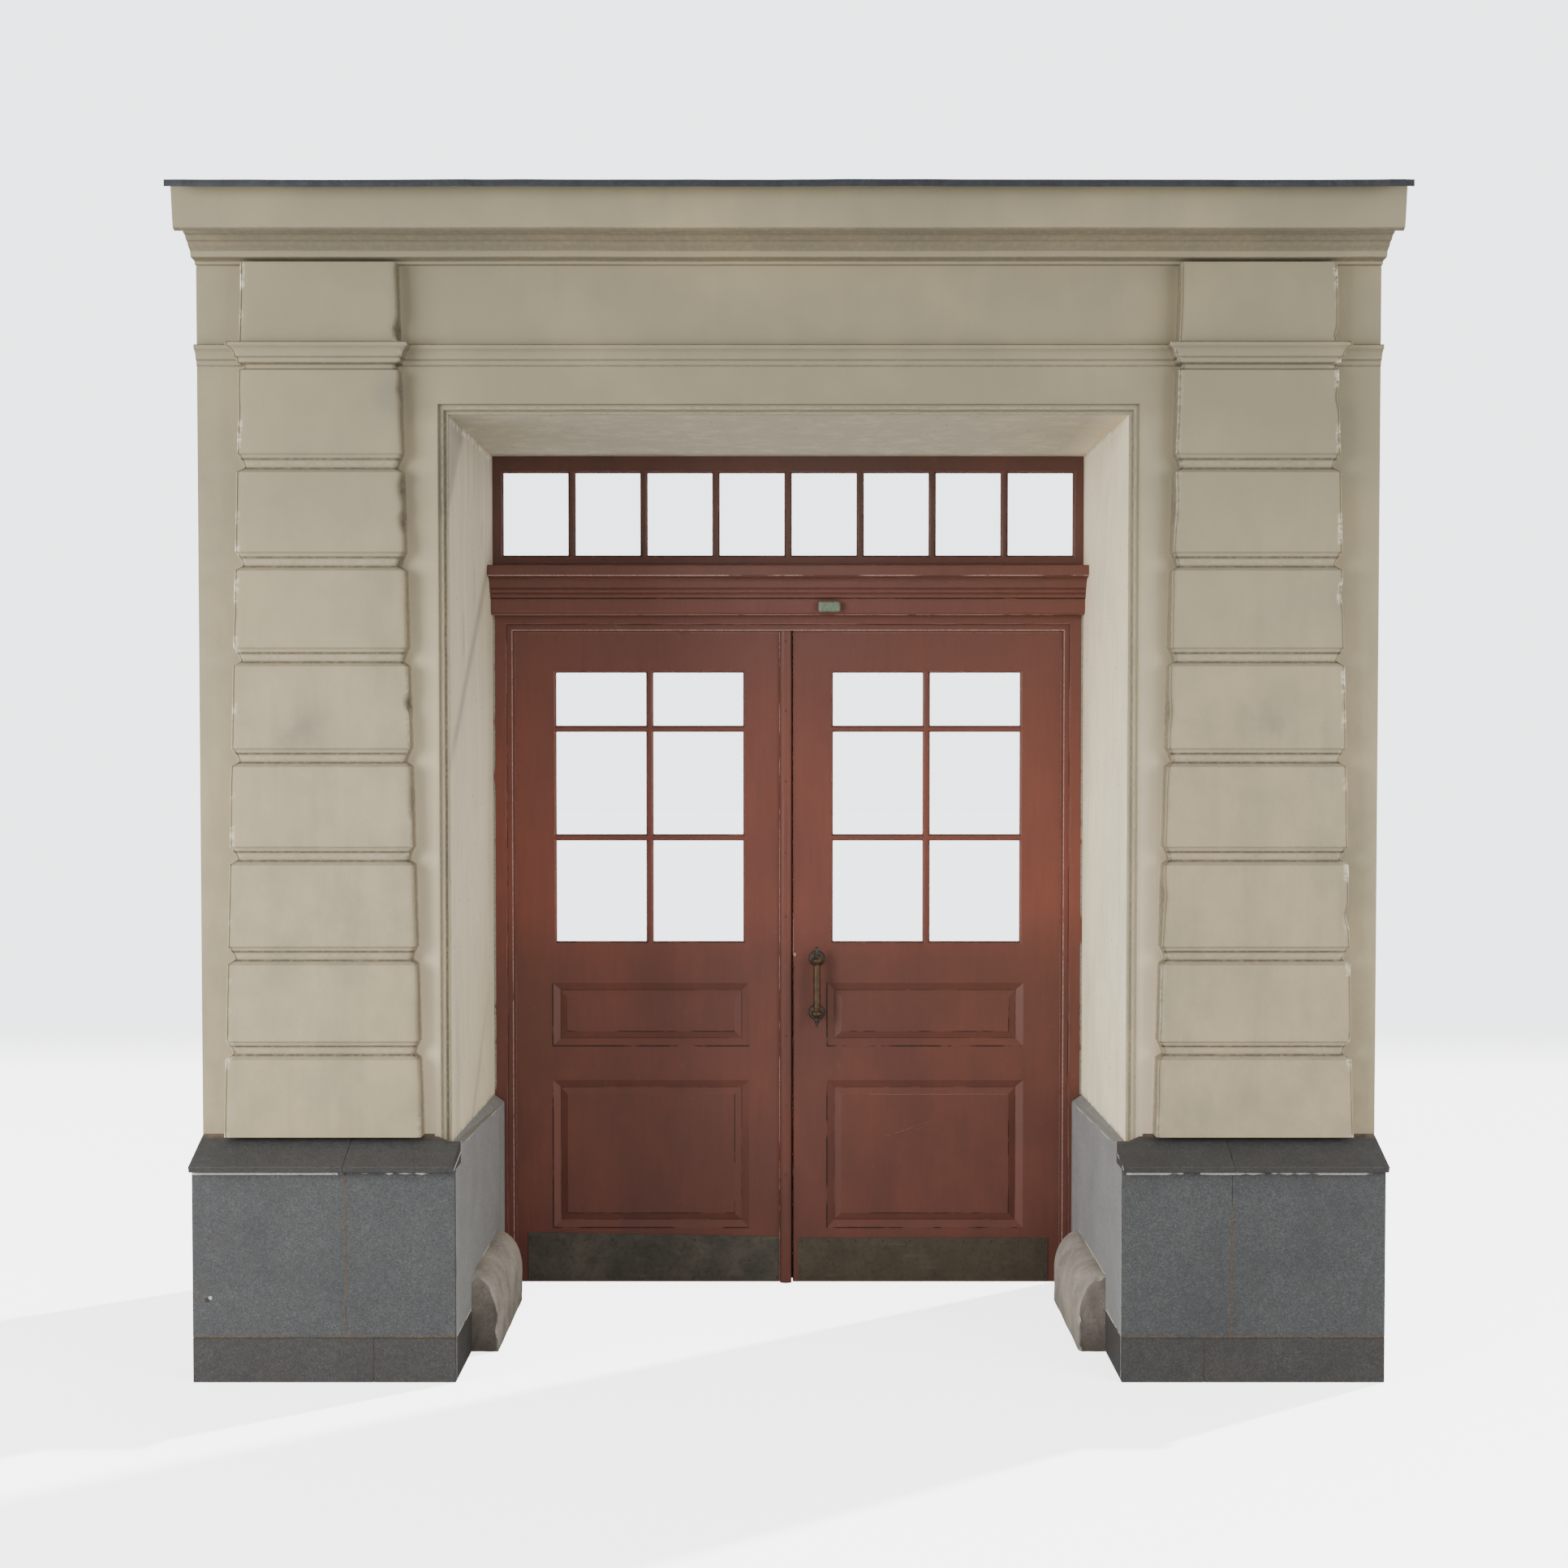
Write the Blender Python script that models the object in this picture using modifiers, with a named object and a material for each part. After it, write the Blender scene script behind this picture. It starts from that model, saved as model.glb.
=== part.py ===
# Rusticated doorway of a rendered building: masonry surround with cornice, granite plinth,
# painted timber frame, fanlight and a pair of glazed and panelled doors that open inwards.
# Metres, +Z up. The front faces -Y. The origin is on the floor at the centre of the block.
# Depths are measured from the wall face, positive into the wall, and become Y in place().

import math

import bmesh
import bpy
from mathutils import Matrix, Vector

# Clearances
GAP = 0.0003
SEAT = 0.0006

# Masonry block: half the clear opening, then the set-offs outwards to the cut ends
OPENING_HALF = 1.007
PILASTER_SETOFF = 0.366
END_SETOFF = 0.369
WALL_DEPTH = 1.000
CORNICE_SOFFIT = 3.272
FLASHING_REACH = 0.288

# Architrave: two sunk steps round the opening
MOULD_STEP = 0.014
MOULD_SINK = 0.011

# Pilasters: the courses are hand-run and differ a little in height
PILASTER_TOP_WIDTH = 0.453
PILASTER_FOOT_WIDTH = 0.582
PILASTER_TOP_REACH = 0.046
PILASTER_FOOT_REACH = 0.055
COURSE_TOPS = (0.9385, 1.218, 1.512, 1.801, 2.096, 2.376, 2.663)
BLOCK_TOP = 2.960
GROOVE_HEIGHT = 0.052
GROOVE_DEPTH = 0.018

# String course
STRING_TOP = 3.040
STRING_REACH = 0.032
STRING_HEIGHT = 0.062
NECK_DEPTH = 0.012

# Cornice: height above the soffit and reach from the wall face, from the wall outwards
CORNICE_TAIL = 0.360
CORNICE_HEIGHT = 0.169
WEATHER_RISE = 0.036
FASCIA_REACH = 0.229
FASCIA_LEAN = 0.017
FASCIA_HEIGHT = 0.120
DRIP_WIDTH = 0.016
DRIP_THROAT = 0.028
LIP_HEIGHT = 0.006
BED_REACH = 0.1355

# Flashing
SHEET = 0.0025
DRIP_HEIGHT = 0.019

# Granite plinth
PLINTH_REACH = 0.112
PLINTH_BED = 0.040
LINING_PROUD = 0.034
REVEAL_BED = 0.045
BASE_TOP = 0.132
DADO_TOP = 0.6236
CAP_REACH = 0.147
CAP_NOSE = 0.018
CAP_TOP = 0.7075
CAP_UNDERCUT = 0.006
CAP_HIP_FALL = 0.0195
CAP_HIP_RUN = 0.045
CAP_END_DEPTH = -0.010
SLAB_DROP = 0.0305
SLAB_FALL = 0.0165
SLAB_EDGE_DROP = 0.0015
SLAB_EDGE_FALL = 0.0230
CORNER_LIP = 0.014
BASE_JOINT_SETOFF = 0.207
DADO_JOINT_SETOFF = 0.287
BACK_STRIP = 0.060
STRIP_GROOVE = 0.004
STONE_ARRIS = 0.0015

# Guard stones
GUARD_WIDTH = 0.083
GUARD_HEIGHT = 0.235
GUARD_UPRIGHT = 0.105
GUARD_START = 0.165
GUARD_END = 0.700
GUARD_STEPS = 8

# Timber frame
FRAME_FACE = 0.870
FRAME_DEPTH = 0.080
FRAME_LAP = 0.053
FRAME_CLEAR = 0.0003
CASING_INSET = 0.0443
CASING_DROP = 0.0300
STOP_STEP = 0.0125
STOP_INSET = 0.0192
STOP_DROP = 0.0204
LEAF_LAP = 0.012
LEAF_CLEAR = 0.003
REVEAL_GAP = 0.008

# Transom bar
BAR_BOTTOM = 2.3010
BAR_HEIGHT = 0.1610
BAR_REACH = 0.122
BAR_FASCIA = 0.035
BAR_LIP = 0.004
BAR_HOLLOW_SET = 0.026
BAR_BAND_REACH = 0.045
BAR_BAND = 0.052
REED_REACH = 0.027
REED_PITCH = 0.016
REED_STEP = 0.007
REED_DEPTH = 0.004
REED_COUNT = 3

# Fanlight
SASH_SEAT = 0.0137
SASH_DEPTH = 0.034
SASH_RAIL = 0.0303
SASH_STILE = 0.0366
SASH_HEAD = 0.0560
FAN_HEIGHT = 0.2790
FAN_COUNT = 8
FAN_MUNTIN = 0.0255

# Door leaves
LEAF_THICK = 0.052
LEAF_FLOOR = 0.004
MEETING_X = 0.012
MEETING_GAP = 0.004
HINGE_STILE = 0.1600
MEETING_STILE = 0.1423
TOP_RAIL = 0.1564
LIGHT_MUNTIN = 0.0250
LIGHT_BARS = ((1.9032, 1.9254), (1.5297, 1.5520))
LIGHT_BOTTOM = 1.1830
PANEL_OUTSET = 0.0145
PANEL_INSET = 0.0203
PANELS = ((0.8223, 1.0402), (0.1924, 0.7043))
PANEL_SLOPE = 0.026
FIELD_BEVEL = 0.024
PANEL_SINK = 0.012
FIELD_SINK = 0.003
BACK_PANEL_SINK = 0.010

# Glazing
GLASS = 0.004
GLASS_LAP = 0.006
GLASS_SETBACK = 0.016
CHAMFER = 0.007
PANE_CLEAR = 0.001

# Door furniture
ASTRAGAL_WIDTH = 0.040
ASTRAGAL_REACH = 0.018
ASTRAGAL_STEPS = 8
KICK_INSET = 0.0585
KICK_SETOFFS = (0.002, 0.018)
KICK_TOPS = ((0.177, 0.161), (0.158, 0.158))
KICK_FLOOR = 0.010
KICK_THICK = 0.0015
HANDLE_SETOFF = 0.0866
HANDLE_LOW = 0.9390
HANDLE_SPACING = 0.1857
HANDLE_STANDOFF = 0.048
BAR_RADIUS = 0.0115
COLLAR_RADIUS = 0.0190
FINIAL = 0.047
ROSETTE_RADIUS = 0.028
ROSETTE_THICK = 0.009
POST_RADIUS = 0.009
STUD_SETOFF = 0.012
STUD_Z = 1.137
STUD_RADIUS = 0.006
STUD_REACH = 0.006

# Sensor cover on the transom bar
SENSOR_X = 0.1394
SENSOR_WIDTH = 0.075
SENSOR_HEIGHT = 0.036
SENSOR_REACH = 0.026
SENSOR_ROUND = 0.009

# Hinges
PIN_RADIUS = 0.006
HINGE_HALF = 0.060
HINGE_FLAP = 0.034
FLAP_THICK = 0.0010
FLAP_INSET = 0.0020
HINGE_HEIGHTS = (0.330, 1.930)

# Working values
CUT = 0.05
MERGE = 0.00001
TURN_STEPS = 20
ROUND_STEPS = 16
HOLLOW_STEPS = 4

# Derived places
FACE_Y = (FLASHING_REACH - WALL_DEPTH) / 2
PILASTER_X = OPENING_HALF + PILASTER_SETOFF
HALF_WIDTH = PILASTER_X + END_SETOFF
PLINTH_INNER = OPENING_HALF - LINING_PROUD
BAR_TOP = BAR_BOTTOM + BAR_HEIGHT
SASH_BOTTOM = BAR_TOP + SASH_SEAT
FAN_HALF = OPENING_HALF - SASH_STILE
FAN_BOTTOM = SASH_BOTTOM + SASH_RAIL
FAN_TOP = FAN_BOTTOM + FAN_HEIGHT
OPENING_TOP = FAN_TOP + SASH_HEAD
CASING_EDGE = OPENING_HALF - CASING_INSET
CASING_TOP = BAR_BOTTOM - CASING_DROP
STOP_EDGE = CASING_EDGE - STOP_INSET
STOP_TOP = CASING_TOP - STOP_DROP
CAP_SLOPE = (CAP_TOP - DADO_TOP - CAP_NOSE) / CAP_REACH
PLINTH_CORNER = OPENING_HALF + REVEAL_BED
FRAME_BACK = FRAME_FACE + FRAME_DEPTH
FRAME_HALF = OPENING_HALF + FRAME_LAP
FRAME_TOP = OPENING_TOP + FRAME_LAP
LEAF_FACE = FRAME_FACE + 2 * STOP_STEP + GAP
LEAF_BACK = LEAF_FACE + LEAF_THICK
LEAF_HALF = STOP_EDGE + LEAF_LAP
LEAF_TOP = STOP_TOP + LEAF_LAP
LIGHT_OUTER = LEAF_HALF - HINGE_STILE
LIGHT_INNER = MEETING_X + MEETING_STILE
LIGHT_TOP = LEAF_TOP - TOP_RAIL
HANDLE_HIGH = HANDLE_LOW + HANDLE_SPACING
PIN_X = LEAF_HALF + LEAF_CLEAR / 2
PIN_DEPTH = FRAME_BACK + PIN_RADIUS + GAP
SASH_BACK = FRAME_FACE + SASH_DEPTH
SIDES = (("left", -1), ("right", 1))


def clear_scene():
    for obj in list(bpy.data.objects):
        bpy.data.objects.remove(obj, do_unlink=True)


def new_collection(name):
    collection = bpy.data.collections.new(name)
    bpy.context.scene.collection.children.link(collection)
    return collection


def new_material(name, colour, roughness, metallic=0.0):
    material = bpy.data.materials.new(name)
    material.use_nodes = True
    shader = material.node_tree.nodes["Principled BSDF"]
    shader.inputs["Base Color"].default_value = (*colour, 1.0)
    shader.inputs["Roughness"].default_value = roughness
    shader.inputs["Metallic"].default_value = metallic
    return material


def place(x, depth, z):
    """A point given by its depth behind the wall face."""
    return Vector((x, FACE_Y + depth, z))


def finish(mesh_tool, name, material=None):
    """Close a bmesh into an object. Without a material it is a cutter or an operand."""
    bmesh.ops.recalc_face_normals(mesh_tool, faces=mesh_tool.faces)
    mesh = bpy.data.meshes.new(name)
    mesh_tool.to_mesh(mesh)
    mesh_tool.free()
    obj = bpy.data.objects.new(name, mesh)
    if material is None:
        helpers.objects.link(obj)
        obj.hide_render = True
        obj.display_type = "WIRE"
    else:
        mesh.materials.append(material)
        surround.objects.link(obj)
    return obj


def loft(rings):
    """A closed body through rings of points that all have the same count."""
    body = bmesh.new()
    rows = [[body.verts.new(point) for point in ring] for ring in rings]
    body.faces.new(rows[0])
    body.faces.new(rows[-1])
    for lower, upper in zip(rows, rows[1:]):
        for i in range(len(lower)):
            j = (i + 1) % len(lower)
            body.faces.new((lower[i], lower[j], upper[j], upper[i]))
    bmesh.ops.remove_doubles(body, verts=body.verts, dist=MERGE)
    return body


def block(low, high):
    """A box between two corners given as (x, depth, z)."""
    body = bmesh.new()
    size = Vector(high) - Vector(low)
    middle = (Vector(high) + Vector(low)) / 2
    matrix = Matrix.Translation(place(*middle)) @ Matrix.Diagonal((*size, 1.0))
    bmesh.ops.create_cube(body, size=1.0, matrix=matrix)
    return body


def run_along_x(profile, low, high):
    """Extrude a (depth, z) outline from low to high in X."""
    return loft([[place(x, depth, z) for depth, z in profile] for x in (low, high)])


def run_in_depth(outline, low, high):
    """Extrude an (x, z) outline from low to high in depth."""
    return loft([[place(x, depth, z) for x, z in outline] for depth in (low, high)])


def run_up(outline, low, high):
    """Extrude an (x, depth) outline from low to high in Z."""
    return loft([[place(x, depth, z) for x, depth in outline] for z in (low, high)])


def window(stages):
    """A body through rectangles, each given as (x0, x1, z0, z1, depth)."""
    rings = []
    for x0, x1, z0, z1, depth in stages:
        corners = ((x0, z0), (x1, z0), (x1, z1), (x0, z1))
        rings.append([place(x, depth, z) for x, z in corners])
    return loft(rings)


def grown(rect, amount):
    x0, x1, z0, z1 = rect
    return (x0 - amount, x1 + amount, z0 - amount, z1 + amount)


def boolean(obj, operand, operation="DIFFERENCE"):
    modifier = obj.modifiers.new(f"{operation.lower()} {operand.name}", "BOOLEAN")
    modifier.operation = operation
    modifier.solver = "EXACT"
    modifier.object = operand
    return modifier


def cut(obj, body, name):
    boolean(obj, finish(body, f"cut {name}"))


def join(obj, body, name):
    boolean(obj, finish(body, f"joined {name}"), "UNION")


def soften(obj, width):
    """Ease the sharp arrises of a stone or fitting."""
    bevel = obj.modifiers.new("arris", "BEVEL")
    bevel.width = width
    bevel.segments = 1
    bevel.limit_method = "ANGLE"
    bevel.angle_limit = math.radians(40)
    return bevel


def turned(name, profile, material=None):
    """Turn a profile of (radius, height) points, top to bottom, round Z."""
    mesh = bpy.data.meshes.new(name)
    points = [(radius, 0.0, height) for radius, height in profile]
    mesh.from_pydata(points, [(i, i + 1) for i in range(len(points) - 1)], [])
    obj = bpy.data.objects.new(name, mesh)
    screw = obj.modifiers.new("turn", "SCREW")
    screw.axis = "Z"
    screw.steps = TURN_STEPS
    screw.render_steps = TURN_STEPS
    screw.use_merge_vertices = True
    screw.merge_threshold = 0.0001
    if material is None:
        helpers.objects.link(obj)
        obj.hide_render = True
        obj.display_type = "WIRE"
    else:
        mesh.materials.append(material)
        surround.objects.link(obj)
    return obj


def pilaster_plan(z):
    """Half the width and the reach of a pilaster at height z: its sides and its front lean in."""
    share = (z - CAP_TOP) / (CORNICE_SOFFIT - CAP_TOP)
    half = (PILASTER_FOOT_WIDTH + (PILASTER_TOP_WIDTH - PILASTER_FOOT_WIDTH) * share) / 2
    return half, PILASTER_FOOT_REACH + (PILASTER_TOP_REACH - PILASTER_FOOT_REACH) * share


def masonry_ring(z, wall_reach=0.0, inset=0.0):
    """Plan of the masonry at one height, with both pilasters set in by inset."""
    half, front = (size - inset for size in pilaster_plan(z))
    plan = [(-HALF_WIDTH, wall_reach)]
    for middle in (-PILASTER_X, PILASTER_X):
        plan += [(middle - half, wall_reach), (middle - half, front),
                 (middle + half, front), (middle + half, wall_reach)]
    plan += [(HALF_WIDTH, wall_reach), (HALF_WIDTH, -WALL_DEPTH), (-HALF_WIDTH, -WALL_DEPTH)]
    return [place(x, -reach, z) for x, reach in plan]


def groove_levels(top):
    """Channel between two blocks, from its foot upwards, as (z, inset)."""
    shares = ((-1.0, 0.0), (-0.78, 0.90), (-0.74, 1.0), (-0.66, 0.96), (-0.30, 0.60),
              (-0.26, 0.44), (-0.05, 0.26), (-0.03, 0.08), (0.0, 0.0))
    return [(top + share * GROOVE_HEIGHT, depth * GROOVE_DEPTH) for share, depth in shares]


def string_levels():
    """String course from its foot upwards, as (z, reach)."""
    foot = STRING_TOP - STRING_HEIGHT
    shares = ((0.0, 0.0), (0.04, 0.12), (0.26, 0.16), (0.28, 0.36), (0.45, 0.42),
              (0.62, 0.60), (0.72, 0.86), (0.76, 1.0), (0.92, 1.0), (0.99, 0.55), (1.0, 0.0))
    return [(foot + share * STRING_HEIGHT, reach * STRING_REACH) for share, reach in shares]


def slab_levels(depth):
    """Height of the reveal slab at a depth: where the wall stands on it, and at its inner edge."""
    share = depth / FRAME_FACE
    bed = CAP_TOP - SLAB_DROP - SLAB_FALL * share
    return bed, bed - SLAB_EDGE_DROP - SLAB_EDGE_FALL * share


def make_wall():
    rings = [masonry_ring(0.0)]
    for groove_foot in COURSE_TOPS:
        for z, inset in groove_levels(groove_foot + GROOVE_HEIGHT):
            rings.append(masonry_ring(z, inset=inset))
    string_foot = STRING_TOP - STRING_HEIGHT
    rings.append(masonry_ring(BLOCK_TOP))
    rings.append(masonry_ring(BLOCK_TOP + 0.3 * NECK_DEPTH, inset=NECK_DEPTH))
    rings.append(masonry_ring(string_foot - SEAT, inset=NECK_DEPTH))
    for z, reach in string_levels():
        rings.append(masonry_ring(z, wall_reach=reach, inset=-reach))
    wall_top = CORNICE_SOFFIT + CORNICE_HEIGHT + WEATHER_RISE
    rings.append(masonry_ring(wall_top))
    wall = finish(loft(rings), "wall", render_coat)

    front = -CUT * 4
    bed = CAP_TOP + SEAT
    ends = (-HALF_WIDTH - CUT, HALF_WIDTH + CUT)
    plinth_zone = [(front, -CUT), (PLINTH_BED, -CUT), (PLINTH_BED, bed + CAP_SLOPE * PLINTH_BED),
                   (front, bed + CAP_SLOPE * front)]
    for side_name, side in SIDES:
        low_x, high_x = sorted((side * (PLINTH_CORNER - GAP), side * ends[1]))
        cut(wall, run_along_x(plinth_zone, low_x, high_x), f"plinth zone {side_name}")
        low_x, high_x = sorted((side * (PLINTH_CORNER + CUT), side * (ends[1] + CUT)))
        cut(wall, block((low_x, front - CUT, -2 * CUT), (high_x, PLINTH_BED / 2, bed)), f"pilaster foot {side_name}")
    cut(wall, block((ends[0], front, CORNICE_SOFFIT), (ends[1], CORNICE_TAIL, wall_top + CUT)), "cornice bed")

    half, top = OPENING_HALF, OPENING_TOP
    for step in (2, 1, 0):
        edge = MOULD_STEP * step
        depth = MOULD_SINK * (3 - step) if step else WALL_DEPTH + CUT
        cut(wall, block((-half - edge, front, -CUT), (half + edge, depth, top + edge)), f"opening {step}")
    rebate = FRAME_HALF + FRAME_CLEAR
    rebate_low = (-rebate, FRAME_FACE - FRAME_CLEAR, -CUT)
    cut(wall, block(rebate_low, (rebate, WALL_DEPTH + CUT, FRAME_TOP + FRAME_CLEAR)), "frame rebate")
    slab_rings = []
    for depth in (front, FRAME_FACE + CUT):
        slab_bed = slab_levels(depth)[0] + SEAT
        outline = ((-PLINTH_CORNER, -CUT), (PLINTH_CORNER, -CUT),
                   (PLINTH_CORNER, slab_bed), (-PLINTH_CORNER, slab_bed))
        slab_rings.append([place(x, depth, z) for x, z in outline])
    cut(wall, loft(slab_rings), "reveal bed")
    return wall


def cornice_profile():
    """Outline of the cornice as (depth, z), from the back foot round the front to the back top."""
    foot = CORNICE_SOFFIT + GAP
    top = CORNICE_SOFFIT + CORNICE_HEIGHT
    fascia_foot = top - FASCIA_HEIGHT
    bed_top = fascia_foot + DRIP_THROAT
    shares = ((0.10, 0.00), (0.10, 0.12), (0.38, 0.16), (0.42, 0.38), (0.55, 0.51), (0.61, 0.64),
              (0.69, 0.66), (0.76, 0.80), (0.78, 0.82), (0.86, 0.84), (0.92, 0.93), (1.00, 1.00))
    outline = [(CORNICE_TAIL - GAP, foot)]
    outline += [(-reach * BED_REACH, foot + height * (bed_top - foot)) for reach, height in shares]
    outline.append((-(FASCIA_REACH - FASCIA_LEAN - DRIP_WIDTH), bed_top))
    outline.append((-(FASCIA_REACH - FASCIA_LEAN - DRIP_WIDTH), fascia_foot))
    outline.append((-(FASCIA_REACH - FASCIA_LEAN), fascia_foot + LIP_HEIGHT))
    outline.append((-(FASCIA_REACH - 0.5 * FASCIA_LEAN), fascia_foot + 0.48 * FASCIA_HEIGHT))
    outline.append((-FASCIA_REACH, top))
    outline.append((CORNICE_TAIL - GAP, top + WEATHER_RISE))
    return outline


def make_cornice():
    return finish(run_along_x(cornice_profile(), -HALF_WIDTH, HALF_WIDTH), "cornice", render_coat)


def make_flashing():
    """Sheet that lies on the sloping top of the cornice and turns down at the front."""
    slope = WEATHER_RISE / (FASCIA_REACH + CORNICE_TAIL)
    front_z = CORNICE_SOFFIT + CORNICE_HEIGHT - slope * (FLASHING_REACH - FASCIA_REACH) + GAP
    back_z = CORNICE_SOFFIT + CORNICE_HEIGHT + WEATHER_RISE + GAP
    outline = [(-FLASHING_REACH, front_z + SHEET), (-FLASHING_REACH, front_z + SHEET - DRIP_HEIGHT),
               (-FLASHING_REACH + SHEET, front_z + SHEET - DRIP_HEIGHT), (-FLASHING_REACH + SHEET, front_z),
               (CORNICE_TAIL - GAP, back_z), (CORNICE_TAIL - GAP, back_z + SHEET)]
    return finish(run_along_x(outline, -HALF_WIDTH, HALF_WIDTH), "cornice_flashing", sheet_metal)


def stone(name, low, high, side):
    """A granite block, mirrored to its side. Corners are given for the right-hand side."""
    lows = (min(side * low[0], side * high[0]), low[1], low[2])
    highs = (max(side * low[0], side * high[0]), high[1], high[2])
    return finish(block(lows, highs), name, granite)


def cap_profile():
    """Outline of the cap as (depth, z): sloped top, upright nose, undercut to the dado."""
    nose_top = CAP_TOP - CAP_SLOPE * CAP_REACH
    back = PLINTH_BED - GAP
    return [(back, CAP_TOP + CAP_SLOPE * back), (-CAP_REACH, nose_top),
            (-CAP_REACH + CAP_UNDERCUT, DADO_TOP), (back, DADO_TOP)]


def make_plinth(side_name, side):
    inner = PLINTH_INNER
    corner = PLINTH_CORNER
    front, back = -PLINTH_REACH, PLINTH_BED - GAP
    base_joint = OPENING_HALF + BASE_JOINT_SETOFF
    dado_joint = OPENING_HALF + DADO_JOINT_SETOFF
    rows = (("base", 0.0, BASE_TOP - GAP, base_joint), ("dado", BASE_TOP, DADO_TOP - GAP, dado_joint))
    slab_end = FRAME_FACE - REVEAL_GAP
    for row, low, high, joint in rows:
        outer = stone(f"{row}_outer_{side_name}", (joint + GAP, front, low), (HALF_WIDTH, back, high), side)
        soften(outer, STONE_ARRIS)
        corner_stone = stone(f"{row}_inner_{side_name}", (inner, front, low), (joint, back, high), side)
        notch_low = (min(side * (inner - CUT), side * corner), front + CORNER_LIP, low - CUT)
        notch_high = (max(side * (inner - CUT), side * corner), back + CUT, high + CUT)
        cut(corner_stone, block(notch_low, notch_high), f"{row} notch {side_name}")
        soften(corner_stone, STONE_ARRIS)

        slab_front = front + CORNER_LIP + GAP
        if row == "base":
            low_corner = (inner, slab_front, low)
            slab = stone(f"base_reveal_{side_name}", low_corner, (corner - GAP, slab_end, high), side)
        else:
            rings = []
            for depth in (slab_front, slab_end):
                slab_bed, slab_edge = slab_levels(depth)
                outline = ((inner, low), (corner - GAP, low), (corner - GAP, slab_bed),
                           (OPENING_HALF, slab_bed), (inner, slab_edge))
                rings.append([place(side * x, depth, z) for x, z in outline])
            slab = finish(loft(rings), f"dado_reveal_{side_name}", granite)
            seat_low = (min(side * (inner - CUT), side * (corner + CUT)), slab_front - CUT, high)
            seat_high = (max(side * (inner - CUT), side * (corner + CUT)), CAP_END_DEPTH + SEAT, high + 4 * CUT)
            cut(slab, block(seat_low, seat_high), f"cap seat {side_name}")
            strip = slab_end - BACK_STRIP
            groove = [(side * (inner - STRIP_GROOVE), strip - STRIP_GROOVE * 2),
                      (side * (inner + STRIP_GROOVE), strip),
                      (side * (inner - STRIP_GROOVE), strip + STRIP_GROOVE * 2)]
            cut(slab, run_up(groove, low - CUT, high + 4 * CUT), f"strip {side_name}")
        soften(slab, STONE_ARRIS)

    spans = (("cap_outer", dado_joint + GAP, HALF_WIDTH), ("cap_inner", inner, dado_joint))
    for name, low_x, high_x in spans:
        body = run_along_x(cap_profile(), side * low_x, side * high_x)
        cap = finish(body, f"{name}_{side_name}", granite)
        if name == "cap_inner":
            end_low = (min(side * (inner - CUT), side * corner), CAP_END_DEPTH, DADO_TOP - CUT)
            end_high = (max(side * (inner - CUT), side * corner), back + CUT, CAP_TOP + CUT)
            cut(cap, block(end_low, end_high), f"cap end {side_name}")
            hip_foot = CAP_TOP - CAP_HIP_FALL
            hip = [(side * (inner - CUT), hip_foot), (side * (corner - CAP_HIP_RUN), hip_foot),
                   (side * corner, CAP_TOP), (side * (corner + CUT), CAP_TOP + CUT),
                   (side * (inner - CUT), CAP_TOP + CUT)]
            cut(cap, run_in_depth(hip, front - CAP_REACH, back + CUT), f"cap hip {side_name}")
        soften(cap, STONE_ARRIS)


def make_guard_stone(side_name, side):
    """Kerb stone against the plinth, with an upright face under a quarter-round top."""
    wall_x = PLINTH_INNER - GAP
    outline = [(side * wall_x, 0.0), (side * (wall_x - GUARD_WIDTH), 0.0)]
    for i in range(GUARD_STEPS + 1):
        angle = math.pi / 2 * i / GUARD_STEPS
        x = wall_x - GUARD_WIDTH * math.cos(angle)
        z = GUARD_UPRIGHT + (GUARD_HEIGHT - GUARD_UPRIGHT) * math.sin(angle)
        outline.append((side * x, z))
    body = run_in_depth(outline, GUARD_START, GUARD_END)
    return finish(body, f"guard_stone_{side_name}", worn_stone)


def make_frame():
    frame = finish(block((-FRAME_HALF, FRAME_FACE, 0.0), (FRAME_HALF, FRAME_BACK, FRAME_TOP)),
                   "door_frame", painted_timber)
    front = FRAME_FACE - CUT
    step = FRAME_FACE + STOP_STEP
    cut(frame, block((-CASING_EDGE, front, -CUT), (CASING_EDGE, step, CASING_TOP)), "casing")
    cut(frame, block((-STOP_EDGE, front, -CUT), (STOP_EDGE, FRAME_BACK + CUT, STOP_TOP)), "doorway")
    rebate_x = LEAF_HALF + LEAF_CLEAR
    rebate_z = LEAF_TOP + LEAF_CLEAR
    rebate_start = LEAF_FACE - GAP
    cut(frame, block((-rebate_x, rebate_start, -CUT), (rebate_x, FRAME_BACK + CUT, rebate_z)), "leaf rebate")
    sash_bed = SASH_BOTTOM - GAP
    sash_low = (-FRAME_HALF - CUT, front, sash_bed)
    cut(frame, block(sash_low, (FRAME_HALF + CUT, SASH_BACK + GAP, FRAME_TOP + CUT)), "sash bed")
    light_x = FAN_HALF + GLASS_LAP * 2
    low, high = FAN_BOTTOM - GLASS_LAP * 2, FAN_TOP + GLASS_LAP * 2
    cut(frame, block((-light_x, front, low), (light_x, FRAME_BACK + CUT, high)), "fanlight")
    return frame


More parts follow.
